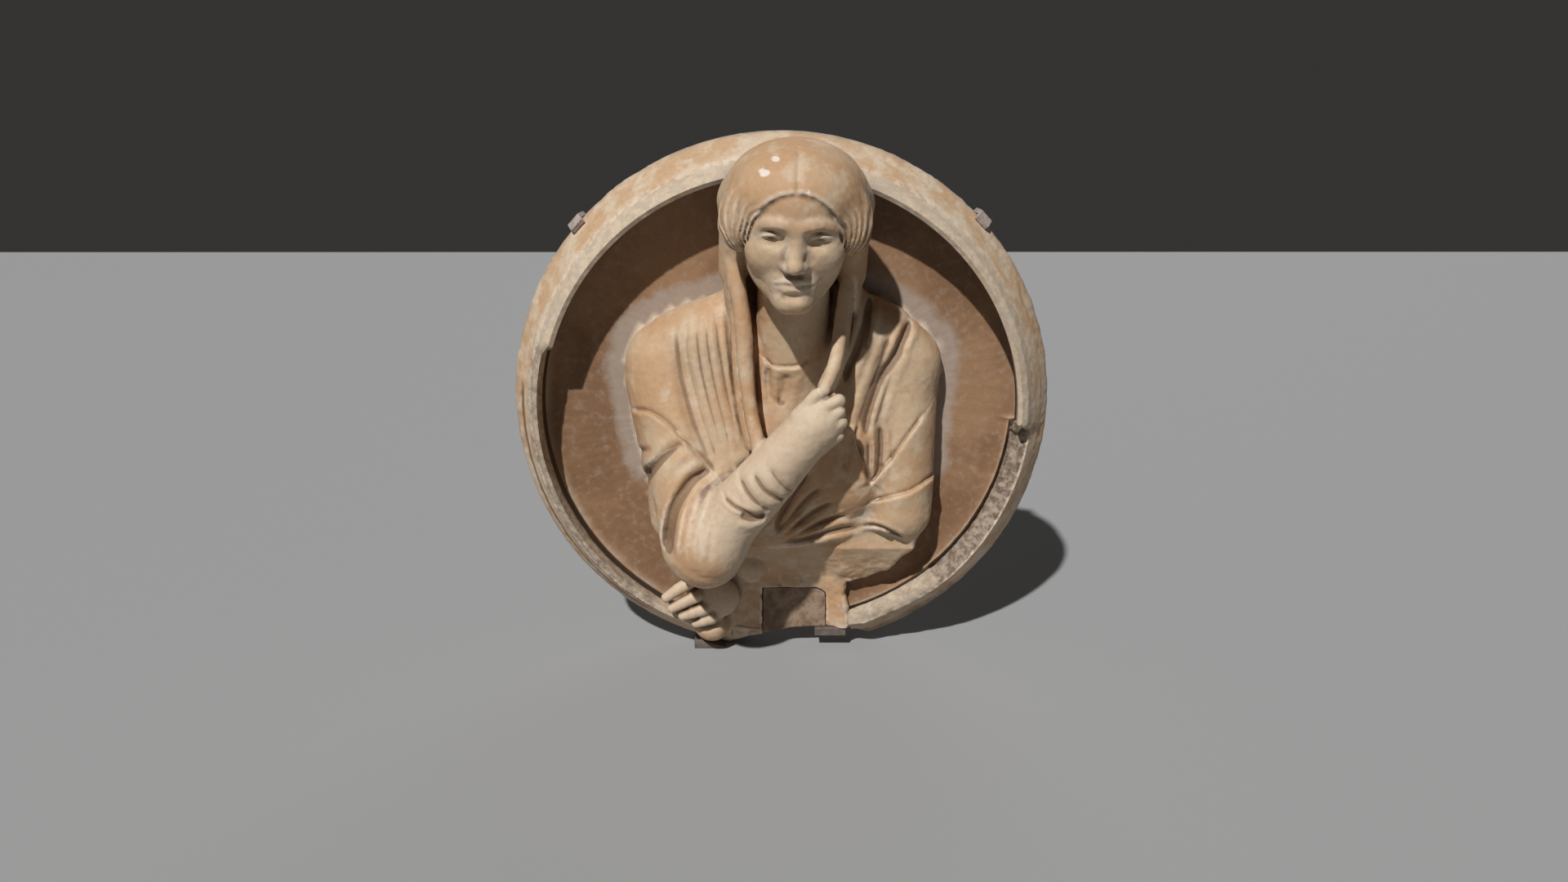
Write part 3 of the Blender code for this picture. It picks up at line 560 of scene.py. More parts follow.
def bust(p, folds):
    """Signed distance to the whole carving, which stands on the field of the slab."""
    drapery = blend(dress(p), right_arm(p), 14)
    drapery = blend(drapery, neck(p), 16)
    height, steepness = folds_at(p, folds)
    d = (drapery - height) / steepness
    d = blend(d, local(p, (-180, 15, -470), (290, 180, -150), broken_lap), 14)
    d = blend(d, local(p, (-150, 60, -80), (190, 300, 370), veil_edges), 6)
    d = blend(d, local(p, (-40, 140, -90), (190, 340, 170), right_hand), 6)
    d = blend(d, local(p, (-280, 20, -440), (-20, 200, -220), left_hand), 10)
    d = blend(d, local(p, (-180, 15, 140), (220, 400, 500), head), 8)
    return np.maximum(d, BURIED_OUT - p[:, 1])


# Stone texture in the shape itself

rng = np.random.default_rng(7)
LATTICE = rng.random((32, 32, 32)).astype(np.float32)


def rough(p, size, seed):
    """Smooth random value from -1 to 1 at each point, with bumps about size across."""
    q = p / size + 7.31 * seed
    base = np.floor(q).astype(int)
    f = (q - base).astype(np.float32)
    f = f * f * (3 - 2 * f)
    total = np.zeros(len(p), np.float32)
    for corner in np.ndindex(2, 2, 2):
        i, j, k = ((base + corner) % 32).T
        weight = np.ones(len(p), np.float32)
        for axis in range(3):
            weight *= f[:, axis] if corner[axis] else 1 - f[:, axis]
        total += weight * LATTICE[i, j, k]
    return 2 * total - 1


def rubble(p, size, seed):
    """Like rough, with smaller bumps on the larger ones."""
    value = rough(p, size, seed) + 0.5 * rough(p, size / 2.1, seed + 1)
    return value + 0.25 * rough(p, size / 4.3, seed + 2)


def ramp(value, start, end):
    """0 at start and 1 at end, smoothly."""
    t = np.clip((value - start) / (end - start), 0, 1)
    return t * t * (3 - 2 * t)


# The strands of hair on each side fan out from this place in front of the ear, as (x, z)
STRAND_ROOT = (58, -36)
STRAND_TURN = math.radians(9.5)
STRAND_BEND = 0.009
STRAND_DEPTH = 2.6


def strands(p):
    """Grooves between the strands of hair, worn away over the crown."""
    h = to_head(p).astype(np.float32)
    beside, above = np.abs(h[:, 0]) - STRAND_ROOT[0], h[:, 2] - STRAND_ROOT[1]
    reach = np.hypot(beside, above)
    turn = np.arctan2(above, beside) - STRAND_BEND * reach
    turn += 0.09 * rough(p, 26, 17)
    groove = (0.5 - 0.5 * np.cos(math.tau * turn / STRAND_TURN)) ** 1.5
    left_by_wear = ramp(reach, 125, 45) * ramp(reach, 12, 30) * ramp(np.abs(h[:, 0]), 24, 52)
    on_hair = ramp(h[:, 1], -25, 5) * ramp(face_opening(h), -1, 3) * ramp(hair(h), 6, 2)
    return STRAND_DEPTH * groove * left_by_wear * on_hair


# Chips on the crown: x, z and size
CHIPS = [(-24, 396, 8), (-8, 414, 5.5), (36, 372, 3)]

# Lowest place of hair and chips, and highest of the break
CROWN_LOW = 250
BREAK_TOP = -200


def chips(p):
    """How far each point lies in a chip, from 0 to 1."""
    share = np.zeros(len(p), np.float32)
    for x, z, size in CHIPS:
        gap = np.hypot(p[:, 0] - x, 1.6 * (p[:, 2] - z)) / size + 0.35 * rough(p, 7, 51)
        share = np.maximum(share, ramp(gap, 1, 0.75) * (p[:, 1] > 200))
    return share


def let_in(p):
    """Distance to the seat of the inset block."""
    outline = [(x / UNIT, z / UNIT) for x, z in insert_outline(JOINT)]
    above = (INSERT_BACK - JOINT - FIELD_THICKNESS) / UNIT + CARVING_FIELD_OUT - p[:, 1]
    return np.maximum(outline_distance(p, outline), above)


def carved(p, folds):
    """The bust with its strands of hair, its break, its seat and the wear of its surface."""
    d = bust(p, folds)
    high = p[:, 2] > CROWN_LOW
    if high.any():
        d[high] += strands(p[high]) + 1.2 * chips(p[high])
    low = p[:, 2] < BREAK_TOP
    if low.any():
        q = p[low]
        xs, zs = zip(*BREAK_LINE)
        above = q[:, 2] - np.interp(q[:, 0], xs, zs).astype(np.float32) + 3 * rubble(q, 20, 11)
        lap_breaks = rubble(q, 26, 61) * ramp(q[:, 0], -90, -60) * ramp(q[:, 1], 110, 90)
        d[low] = np.maximum(cut(d[low] + 2.5 * lap_breaks, above, 4), -let_in(q))
    return d - 0.5 * rough(p, 14, 3) - 0.35 * rough(p, 6, 5)


# Fine meshes

# Smoothing passes, there and back, so that nothing shrinks
UNSHRUNK = (0.5, -0.52, 0.5, -0.52)


def placed(name, data):
    """Object in the scene with the given mesh, light or camera."""
    thing = bpy.data.objects.new(name, data)
    bpy.context.collection.objects.link(thing)
    return thing


def modified(thing):
    """Mesh of a thing with its modifiers carried out."""
    bpy.context.view_layer.update()
    graph = bpy.context.evaluated_depsgraph_get()
    return bpy.data.meshes.new_from_object(thing.evaluated_get(graph), depsgraph=graph)


def distances(distance, low, high, cell, levels=3, reach=1.7):
    """Distance on a fine grid, worked out again only near the surface."""
    low = np.array(low, float)
    step = cell * 2**levels
    count = np.ceil((np.array(high) - low) / step).astype(int)
    axes = [low[i] + step * (np.arange(count[i]) + 0.5) for i in range(3)]
    places = np.stack(np.meshgrid(*axes, indexing="ij"), -1).reshape(-1, 3)
    value = distance(places.astype(np.float32)).reshape(count)
    for level in range(levels):
        near = np.abs(value) < (reach + level * 0.7) * step
        step /= 2
        for axis in range(3):
            value = value.repeat(2, axis)
            near = near.repeat(2, axis)
        places = np.argwhere(near)
        value[near] = distance((low + (places + 0.5) * step).astype(np.float32))
    return value


def surface(distance, low, high, cell):
    """Points, in carving units, and outward quads where distance is zero."""
    value = distances(distance, low, high, cell)
    volume = openvdb.FloatGrid(float(value.max()))
    volume.copyFromArray(value)
    points, quads = volume.convertToQuads(0.0)
    points = np.array(low, float) + (points + 0.5) * cell
    return points.astype(np.float32), quads


def normals_of(points, quads):
    """Outward unit normal at each point."""
    a, b, c, d = (points[quads[:, i]] for i in range(4))
    flat = np.cross(c - a, d - b)
    normals = np.zeros_like(points)
    for i in range(4):
        np.add.at(normals, quads[:, i], flat)
    return normals / np.maximum(np.linalg.norm(normals, axis=1, keepdims=True), 1e-9)


def eased(points, quads, shares=UNSHRUNK):
    """Points moved by each share in turn towards the middle of their neighbours."""
    ends = np.concatenate([quads[:, [i, (i + 1) % 4]] for i in range(4)])
    count = np.bincount(ends[:, 0], minlength=len(points))
    for share in shares:
        sums = [np.bincount(ends[:, 0], points[ends[:, 1], i], len(points)) for i in range(3)]
        middle = np.stack(sums, -1) / np.maximum(count, 1)[:, None]
        points = points + share * (middle - points)
    return points.astype(np.float32)


def to_world(points):
    """Carving units, with out forward, to metres, with y to the back."""
    world = points * UNIT * np.array([1, -1, 1])
    world[:, 1] -= FIELD_THICKNESS - CARVING_FIELD_OUT * UNIT
    return world


def fine_mesh(name, points, groups, masks=None, normals=None):
    """Object from an array of points and arrays of faces, with a value at each point per mask."""
    mesh = bpy.data.meshes.new(name)
    mesh.vertices.add(len(points))
    mesh.vertices.foreach_set("co", np.ascontiguousarray(points, np.float32).ravel())
    corners = np.concatenate([faces.ravel() for faces in groups])
    sizes = np.concatenate([np.full(len(faces), faces.shape[1]) for faces in groups])
    mesh.loops.add(len(corners))
    mesh.loops.foreach_set("vertex_index", corners.astype(np.int32))
    mesh.polygons.add(len(sizes))
    starts = np.concatenate([[0], np.cumsum(sizes)[:-1]])
    mesh.polygons.foreach_set("loop_start", starts.astype(np.int32))
    mesh.update(calc_edges=True)
    for mask, values in (masks or {}).items():
        layer = mesh.attributes.new(mask, "FLOAT", "POINT")
        layer.data.foreach_set("value", np.ascontiguousarray(values, np.float32))
    mesh.shade_smooth()
    if normals is not None:
        mesh.normals_split_custom_set_from_vertices(normals)
    return placed(name, mesh)


# The bust's fine pieces, and where they part
BUST_PIECES = ["bust_head", "bust_shoulders", "bust_right_side", "bust_left_side", "bust_foot"]
HEAD_LOW = 240
SHOULDERS_LOW = 130
SIDES_X = -10

# The space that holds the carving, and its cells
CARVING_LOW = (-300, 15, -445)
CARVING_HIGH = (300, 360, 470)
CARVING_CELL = 2.0


def pieces_of(points, quads, normals, masks, homes):
    """One object per name, each with the faces that homes gives its number."""
    made = []
    for number, name in enumerate(BUST_PIECES):
        mine = quads[homes == number]
        used, mine = np.unique(mine, return_inverse=True)
        mine = mine.reshape(-1, 4)
        mine_masks = {mask: values[used] for mask, values in masks.items()}
        facing = normals[used] * np.array([1, -1, 1])
        made.append(fine_mesh(name, to_world(points[used]), [mine[:, ::-1]], mine_masks, facing))
    return made


def bust_pieces():
    """The carving without its buried back, with the masks that its colours follow."""
    folds = fold_map()

    def shape(p):
        return carved(p, folds)

    points, quads = surface(shape, CARVING_LOW, CARVING_HIGH, CARVING_CELL)
    quads = quads[points[quads].mean(1)[:, 1] > BURIED_OUT + 1]
    points = eased(points, quads)
    normals = normals_of(points, quads)
    # The hollow and tight masks carry painted shade: how closely other stone lies in front of each
    # point
    hollow = np.clip(1 - shape(points + 7 * normals) / 7, 0, 1)
    tight_shade = np.clip(1 - shape(points + 3 * normals) / 3, 0, 1)
    crest = np.clip(1 + shape(points - 6 * normals) / 6, 0, 1)
    skin = np.minimum(right_hand(points), left_hand(points))
    skin = np.minimum(skin, limb(points, (-100, 200, -170), (52, 222, 20), 48, 36))
    height, steepness = folds_at(points, folds)
    cloth = np.minimum(dress(points), right_arm(points))
    # Fold valleys, which carry painted shade
    groove = ramp(-height, 0.4, 3.2) * ramp(np.abs(cloth - height) / steepness, 7, 4)
    middle = points[quads].mean(1)
    x, z = middle[:, 0], middle[:, 2]
    places = [z > HEAD_LOW, z > SHOULDERS_LOW, z < BREAK_TOP, x < SIDES_X]
    homes = np.select(places, [0, 1, 4, 2], 3)
    masks = {"hollow": hollow, "tight_shade": tight_shade, "crest": crest, "skin": ramp(skin, 22, 4),
             "groove": groove, "chip": chips(points) * (points[:, 2] > CROWN_LOW)}
    return pieces_of(points, quads, normals, masks, homes)


# The slab and its rim in detail

# Depth of the undercut inside the whole lip
SLOT_DEPTH = 0.020

# Rings along each stretch of the rim's profile, over the hollow field, and points round each
RIM_RINGS = [1, 8, 9, 9, 6, 6, 3, 6, 4, 4, 6]
FIELD_RINGS = 26
SLAB_STEPS = 1000

# Stretches of the profile, counted in its corners from the back's edge: start, stop, softness
SIDE_FACE = (1.2, 2.8, 0.3)
FASCIA_AND_LIP = (2.5, 7.5, 0.6)
CRACK_LINE = (2.85, 3.15, 0.12)
LIP_FROM_CREASE = (3.9, 7.4, 0.5)
LIP_CORE = (4.4, 7.6, 0.5)
LIP_AND_SLOT = (3.6, 9, 0.5)
WEATHERED = (2, 12, 0.5)

# Stretches round the rim, in degrees from +X
SCAR_TURN = (-47, -5, 1.5)
BAND_TURN = (163, 236, 2)
CRACK_TURN = (176, 236, 4)
BEAD_TURN = (-74, -48, 3)
DIP_TURN = (-76, -73, 4)
LEFT_END_TURN = (160, 165, 1.5)
RIGHT_END_TURN = (-5, -1, 1.5)

# Depths of the wear, in carving units
SCAR_DROP = 16
DIP_DROP = 10
BEAD_ROUND = 12
CRACK_DROP = 2.5


def rim_profile(lip_share, height):
    """Profile of the slab's edge and rim, as (inset from the radius, height above the wall)."""
    fascia_top = min(FASCIA_HEIGHT, height)
    inner = FASCIA_WIDTH + lip_share * LIP_WIDTH
    whole = min(1, max(0, (height / RIM_HEIGHT - 0.95) / 0.05))
    slot = SLOT_DEPTH * whole
    drop = height - FIELD_EDGE_HEIGHT
    rise = fascia_top - EDGE_THICKNESS
    return [
        (BACK_CHAMFER, 0),
        (0, BACK_CHAMFER),
        (0, EDGE_THICKNESS),
        (0.5 * FASCIA_WIDTH, EDGE_THICKNESS + 0.52 * rise),
        (FASCIA_WIDTH, fascia_top),
        (FASCIA_WIDTH + 0.4 * (inner - FASCIA_WIDTH), fascia_top + 0.7 * (height - fascia_top)),
        (FASCIA_WIDTH + 0.78 * (inner - FASCIA_WIDTH), height),
        (inner, height - (0.3 - 0.24 * whole) * drop),
        (inner - 0.1 * slot, height - 0.5 * drop),
        (inner - slot, height - 0.62 * drop),
        (inner - slot, height - 0.9 * drop),
        (FASCIA_WIDTH + LIP_WIDTH + 0.3 * drop, FIELD_EDGE_HEIGHT - 0.03 * drop),
    ]


def in_degrees(turns):
    """Angles in degrees, from -80 at the break to 280."""
    return (np.degrees(turns) + 80) % 360 - 80


def slab_points():
    """Rings of points from the back's edge over the rim and in over the field, in metres."""
    turns = np.arange(SLAB_STEPS) * math.tau / SLAB_STEPS
    degrees = in_degrees(turns)
    angles, shares, heights = zip(*RIM_STATES)
    share = np.interp(degrees, angles, shares)
    height = np.interp(degrees, angles, heights)
    corners = np.array([rim_profile(s, h) for s, h in zip(share, height)])
    rings = []
    places = []
    for k, count in enumerate(RIM_RINGS):
        for step in range(count):
            u = step / count
            rings.append((1 - u) * corners[:, k] + u * corners[:, k + 1])
            places.append(k + u)
    rings.append(corners[:, -1])
    places.append(len(RIM_RINGS))
    edge_radius = RADIUS - corners[:, -1, 0]
    edge_height = corners[:, -1, 1]
    hollow = FIELD_EDGE_HEIGHT - FIELD_THICKNESS
    for step in range(1, FIELD_RINGS):
        u = (1 - step / FIELD_RINGS) ** 0.8
        radius = edge_radius * u
        dish = FIELD_THICKNESS + hollow * (radius / RADIUS) ** 2
        blend_in = np.exp(-6 * step / FIELD_RINGS)
        rings.append(np.stack([RADIUS - radius, dish + blend_in * (edge_height - dish)], -1))
        places.append(len(RIM_RINGS) + step / FIELD_RINGS)
    return turns, np.array(rings), np.array(places)


def between(value, start, stop, edge):
    """1 from start to stop, and 0 further than edge outside them."""
    return ramp(value, start - edge, start) * ramp(value, stop + edge, stop)


def worn_rim(turns, rings, places):
    """Radius, height and angle of every point of the worn rim, and its shares of broken stone
    and of the crack outside the lip."""
    degrees = np.broadcast_to(in_degrees(turns), rings.shape[:2])
    place = np.broadcast_to(places[:, None], rings.shape[:2])
    radius = (RADIUS - rings[:, :, 0]) / UNIT
    height = rings[:, :, 1] / UNIT
    p = np.stack([radius * np.cos(turns), height, radius * np.sin(turns)], -1)
    p = p.reshape(-1, 3).astype(np.float32)
    fine = rubble(p, 9, 21).reshape(radius.shape)
    coarse = rubble(p, 24, 31).reshape(radius.shape)
    scar = between(place, *LIP_CORE) * between(degrees, *SCAR_TURN)
    band = between(place, *LIP_FROM_CREASE) * between(degrees, *BAND_TURN)
    rim = between(place, *FASCIA_AND_LIP)
    low_bead = rim * between(degrees, *BEAD_TURN)
    height -= scar * (1.5 + 2.6 * np.maximum(fine, -0.4) + 1.5 * coarse)
    height -= SCAR_DROP * scar * ramp(place, 4.3, 6.5)
    height -= band * (1.0 + 0.5 * fine + 1.6 * coarse)
    roundness = np.clip((place - 4.6) / 2.6, -1, 1) ** 2
    height -= low_bead * (1.0 + 0.6 * fine + 1.8 * coarse + BEAD_ROUND * roundness)
    height -= DIP_DROP * rim * between(degrees, *DIP_TURN)
    radius -= between(place, *SIDE_FACE) * (1.1 + 0.6 * fine + 0.9 * coarse)
    cracked = between(place, *CRACK_LINE) * between(degrees, *CRACK_TURN)
    height -= CRACK_DROP * cracked
    height -= 0.5 * (1 + fine) * between(place, *WEATHERED)
    ends = between(degrees, *LEFT_END_TURN) + between(degrees, *RIGHT_END_TURN)
    shift = 1.1 * np.radians(coarse + 0.6 * fine) * ends * between(place, *LIP_AND_SLOT)
    broken = np.clip(scar + 0.55 * band + 0.3 * low_bead, 0, 1)
    return radius * UNIT, height * UNIT, turns + shift, broken, cracked


def slab_mesh():
    """Points and faces of the slab, with each point's place on the profile and shares of broken
    stone and crack. The last two points are the middles of back and field."""
    turns, rings, places = slab_points()
    radius, height, angles, broken, cracked = worn_rim(turns, rings, places)
    points = np.stack([radius * np.cos(angles), -height, radius * np.sin(angles)], -1)
    points = points.reshape(-1, 3)
    i = np.arange(SLAB_STEPS)
    j = (i + 1) % SLAB_STEPS
    quads = []
    for start in range(0, len(points) - SLAB_STEPS, SLAB_STEPS):
        after = start + SLAB_STEPS
        quads.append(np.stack([start + i, after + i, after + j, start + j], -1))
    back, front = len(points), len(points) + 1
    last = len(points) - SLAB_STEPS
    ends = np.concatenate([np.stack([np.full(SLAB_STEPS, back), i, j], -1),
                           np.stack([np.full(SLAB_STEPS, front), last + j, last + i], -1)])
    points = np.vstack([points, [[0, 0, 0], [0, -FIELD_THICKNESS, 0]]])
    places = np.append(np.repeat(places, SLAB_STEPS), [0, len(RIM_RINGS) + 1])
    broken, cracked = (np.append(share, [0, 0]) for share in (broken, cracked))
    return points, [np.concatenate(quads), ends], places, broken, cracked


def insert_outline(margin):
    """The inset block seen from the front, with its rounded upper right corner."""
    left = INSERT_CENTRE_X - INSERT_WIDTH / 2 - margin
    right = INSERT_CENTRE_X + INSERT_WIDTH / 2 + margin
    top = INSERT_TOP + margin
    corner = INSERT_CORNER + margin
    outline = [(left, -RADIUS), (right, -RADIUS)]
    for turn in np.radians(np.arange(9) * 90 / 8):
        x = right - corner + corner * math.cos(turn)
        outline.append((x, top - corner + corner * math.sin(turn)))
    return outline + [(left, top)]


def prism(name, outline, near, far):
    """Outline in the XZ plane, as (x, z) anticlockwise as seen, between two heights."""
    points = [(x, -far, z) for x, z in outline] + [(x, -near, z) for x, z in outline]
    n = len(outline)
    faces = [tuple(range(n)), tuple(range(2 * n - 1, n - 1, -1))]
    faces += [(i, i + n, (i + 1) % n + n, (i + 1) % n) for i in range(n)]
    mesh = bpy.data.meshes.new(name)
    mesh.from_pydata(points, [], faces)
    return placed(name, mesh)


def broken_face():
    """Rough-faced tool that takes away the slab below the break line."""
    line = np.array(BREAK_LINE, float)
    xs = np.arange(line[0, 0] + 1, line[-1, 0], 2.5)
    zs = np.interp(xs, line[:, 0], line[:, 1])
    ys = np.arange(-10, 140, 3.0)
    grid_x, grid_y = np.meshgrid(xs, ys, indexing="ij")
    grid_z = np.repeat(zs[:, None], len(ys), 1)
    flat = np.stack([grid_x, grid_y, grid_z], -1).reshape(-1, 3)
    bumps = rubble(flat.astype(np.float32), 22, 11).reshape(grid_x.shape)
    grid_z = grid_z + 2.2 * bumps
    top = np.stack([grid_x * UNIT, -grid_y * UNIT, grid_z * UNIT], -1).reshape(-1, 3)
    floor = top.copy()
    floor[:, 2] = -0.52
    m, n = grid_x.shape
    index = np.arange(m * n).reshape(m, n)
    a, b, c, d = index[:-1, :-1], index[1:, :-1], index[1:, 1:], index[:-1, 1:]
    upper = np.stack([a, d, c, b], -1).reshape(-1, 4)
    lower = upper[:, ::-1] + m * n
    rim = np.concatenate([index[:-1, 0], index[-1, :-1], index[:0:-1, -1], index[0, :0:-1]])
    after = np.roll(rim, -1)
    sides = np.stack([rim, after, after + m * n, rim + m * n], -1)
    return fine_mesh("break", np.vstack([top, floor]), [upper, lower, sides])


def cut_away(thing, tool):
    """Take the tool's shape out of the thing, and the tool away."""
    modifier = thing.modifiers.new(tool.name, "BOOLEAN")
    modifier.operation = "DIFFERENCE"
    modifier.object = tool
    modifier.solver = "MANIFOLD"
    left = modified(thing)
    thing.modifiers.clear()
    old = thing.data
    thing.data = left
    bpy.data.meshes.remove(old)
    bpy.data.objects.remove(tool)


def slab():
    """The worn slab, broken below and cut out for the block."""
    points, groups, places, broken, cracked = slab_mesh()
    seen = (points * np.array([1, -1, 1]) / UNIT).astype(np.float32)
    to_bust = bust(seen, fold_map())
    beside = ramp(seen[:, 2], -190, -90)
    # The lip and slot masks carry painted shade, the crease mask a painted highlight with wear
    masks = {"rim": ramp(places, 10.5, 9.5), "side": ramp(places, 2.4, 1.8),
             "lip": between(places, 4.2, 7.3, 0.3), "crease": between(places, 3.95, 4.05, 0.35),
             "slot": between(places, 7.6, 9.6, 0.4), "broken": broken, "cracked": cracked,
             "halo": beside * ramp(to_bust, 80, 8), "outline": beside * ramp(to_bust, 6, 2.5)}
    made = fine_mesh("slab", points, groups, masks)
    cut_away(made, broken_face())
    cut_away(made, prism("seat", insert_outline(JOINT), INSERT_BACK - JOINT, RIM_HEIGHT))
    made.data.materials.clear()
    made.data.set_sharp_from_angle(angle=math.radians(35))
    return made


# The block in the break and the fittings

def worn_copy(name, node, cell, wear, size, grooves=0.0):
    """Fine copy of a plain solid with rounded arrises and a surface worn unevenly inwards."""
    thing = placed(name, node.data.copy())
    remesh = thing.modifiers.new("fine", "REMESH")
    remesh.mode = "VOXEL"
    remesh.voxel_size = cell * 1
    fine = modified(thing)
    points = np.empty(3 * len(fine.vertices), np.float32)
    fine.vertices.foreach_get("co", points)
    points = points.reshape(-1, 3)
    quads = np.array([polygon.vertices[:] for polygon in fine.polygons])
    bpy.data.objects.remove(thing)
    for _ in range(3):
        points = eased(points, quads, (0.5,))
    p = points * np.array([1, -1, 1], np.float32) / UNIT
    depth = wear * (0.5 + 0.4 * rubble(p, size, 41))
    if grooves:
        depth += grooves * (0.5 + 0.5 * rough(p * np.array([1, 1, 0.08], np.float32), 3.2, 43))
    points -= (np.maximum(depth, 0) * UNIT)[:, None] * normals_of(points, quads)
    return fine_mesh(name, points, [quads])


# Materials

# Colours of the stone, clean and dirty, and the painted shade and painted highlight laid over it
TAN = (0.49, 0.300, 0.165)
CREAM = (0.54, 0.395, 0.255)
PALE = (0.60, 0.49, 0.36)
# Whitened wear, also used for a painted highlight along the rim's crease
WEAR_AND_HIGHLIGHT_WHITE = (0.74, 0.64, 0.52)
CHIP_WHITE = (0.74, 0.68, 0.60)
# Dirt, also used as painted shade in the carving's hollows and tight corners
DIRT_AND_SHADE_BROWN = (0.135, 0.075, 0.040)
# Pits, also used as painted shade in the valleys of the folds
PIT_AND_SHADE_BROWN = (0.20, 0.12, 0.07)
STAIN = (0.44, 0.24, 0.13)
MOTTLE_GREY = (0.42, 0.38, 0.34)
FIELD_BROWN = (0.215, 0.115, 0.058)
FIELD_TAN = (0.31, 0.180, 0.096)
RUBBED_GREY = (0.37, 0.30, 0.245)
RIM_TAN = (0.52, 0.345, 0.205)
# Painted shade: the lip's face greyer and darker than the fascia
LIP_SHADE_GREY = (0.46, 0.385, 0.30)
EDGE_GREY = (0.30, 0.255, 0.215)
EDGE_TAN = (0.42, 0.33, 0.25)
SCAR_BROWN = (0.17, 0.115, 0.078)
SCAR_GREY = (0.33, 0.265, 0.205)
# Painted shade: near black for the undercut and the wall under the lip
SLOT_SHADE_DARK = (0.05, 0.032, 0.022)


def node(tree, kind, inputs=None, **settings):
    """Shader node with its inputs, each a value or the output that feeds it."""
    made = tree.nodes.new(kind)
    for key, value in settings.items():
        setattr(made, key, value)
    for key, value in (inputs or {}).items():
        if isinstance(value, bpy.types.NodeSocket):
            tree.links.new(value, made.inputs[key])
        else:
            made.inputs[key].default_value = value
    return made


def noise(tree, place, scale, detail=4.0, roughness=0.6):
    made = node(tree, "ShaderNodeTexNoise", {"Vector": place, "Scale": scale, "Detail": detail,
                                             "Roughness": roughness})
    return made.outputs["Fac"]


def step_up(tree, value, low, high, most=1.0):
    """0 below low and most above high."""
    made = node(tree, "ShaderNodeMapRange", {"Value": value, "From Min": low, "From Max": high,
                                             "To Max": most}, interpolation_type="SMOOTHSTEP")
    return made.outputs["Result"]


def sums(tree, mode, *values):
    """The values added, multiplied or otherwise taken together in turn."""
    total = values[0]
    for value in values[1:]:
        total = node(tree, "ShaderNodeMath", {0: total, 1: value}, operation=mode).outputs[0]
    return total


def mask(tree, name, most=1.0):
    """The mesh's mask of that name, times most."""
    value = node(tree, "ShaderNodeAttribute", attribute_name=name).outputs["Fac"]
    return value if most == 1.0 else sums(tree, "MULTIPLY", value, most)


def frayed(tree, name, smear, amount, low, high, most):
    """Mask whose edge the smear breaks up."""
    value = sums(tree, "ADD", mask(tree, name), sums(tree, "MULTIPLY", smear, amount))
    return step_up(tree, value, low, high, most)


def mixed(tree, share, a, b, mode="MIX"):
    """Colour a with its share of colour b."""
    made = node(tree, "ShaderNodeMix", {"Factor": share}, data_type="RGBA", blend_type=mode)
    for socket, value in ((made.inputs[6], a), (made.inputs[7], b)):
        if isinstance(value, bpy.types.NodeSocket):
            tree.links.new(value, socket)
        else:
            socket.default_value = (*value, 1.0)
    return made.outputs[2]


def layered(tree, colour, layers):
    """Colour with other colours laid over it in turn, each by its share."""
    for share, over in layers:
        colour = mixed(tree, share, colour, over)
    return colour


def bare(name):
    """New material, its nodes, its shader and the places of its points."""
    material = bpy.data.materials.new(name)
    material.use_nodes = True
    tree = material.node_tree
    place = node(tree, "ShaderNodeTexCoord").outputs["Object"]
    return material, tree, tree.nodes["Principled BSDF"], place


def stone_finish(tree, shader, place, colour, roughness, depth):
    """Colour, sheen and fine surface of a stone."""
    mottled = noise(tree, place, 120, 5, 0.7)
    colour = mixed(tree, step_up(tree, mottled, 0.42, 0.62, 0.3), colour, MOTTLE_GREY, "OVERLAY")
    specks = noise(tree, place, 420, 3, 0.5)
    colour = mixed(tree, step_up(tree, specks, 0.62, 0.72, 0.22), colour, PIT_AND_SHADE_BROWN)
    tree.links.new(colour, shader.inputs["Base Color"])
    shader.inputs["Roughness"].default_value = roughness
    shader.inputs["Specular IOR Level"].default_value = 0.35
    grain = sums(tree, "ADD", mottled, noise(tree, place, 700, 3))
    bump = node(tree, "ShaderNodeBump", {"Height": grain, "Strength": 0.35, "Distance": depth})
    tree.links.new(bump.outputs[0], shader.inputs["Normal"])


def bust_stone():
    material, tree, shader, place = bare("bust_stone")
    wide = noise(tree, place, 6, 3)
    blotch = noise(tree, place, 26, 5)
    smear = noise(tree, place, 75, 6, 0.7)
    colour = layered(tree, TAN, [
        (step_up(tree, wide, 0.38, 0.6), CREAM),
        (step_up(tree, blotch, 0.5, 0.68, 0.6), PALE),
        (step_up(tree, sums(tree, "ADD", wide, smear), 1.12, 1.3, 0.35), STAIN),
        (mask(tree, "skin", 0.7), PALE),
        (frayed(tree, "crest", smear, 0.5, 0.35, 0.75, 0.6), WEAR_AND_HIGHLIGHT_WHITE),
        # Painted shade: hollows, tight corners and fold valleys darkened as if in shade
        (frayed(tree, "hollow", smear, 0.35, 0.35, 0.95, 0.6), DIRT_AND_SHADE_BROWN),
        (frayed(tree, "tight_shade", smear, 0.3, 0.35, 0.8, 0.75), DIRT_AND_SHADE_BROWN),
        (frayed(tree, "groove", smear, 0.4, 0.45, 1.2, 0.8), PIT_AND_SHADE_BROWN),
        (mask(tree, "chip", 0.9), CHIP_WHITE),
    ])
    stone_finish(tree, shader, place, colour, 0.62, 0.0006)
    return material


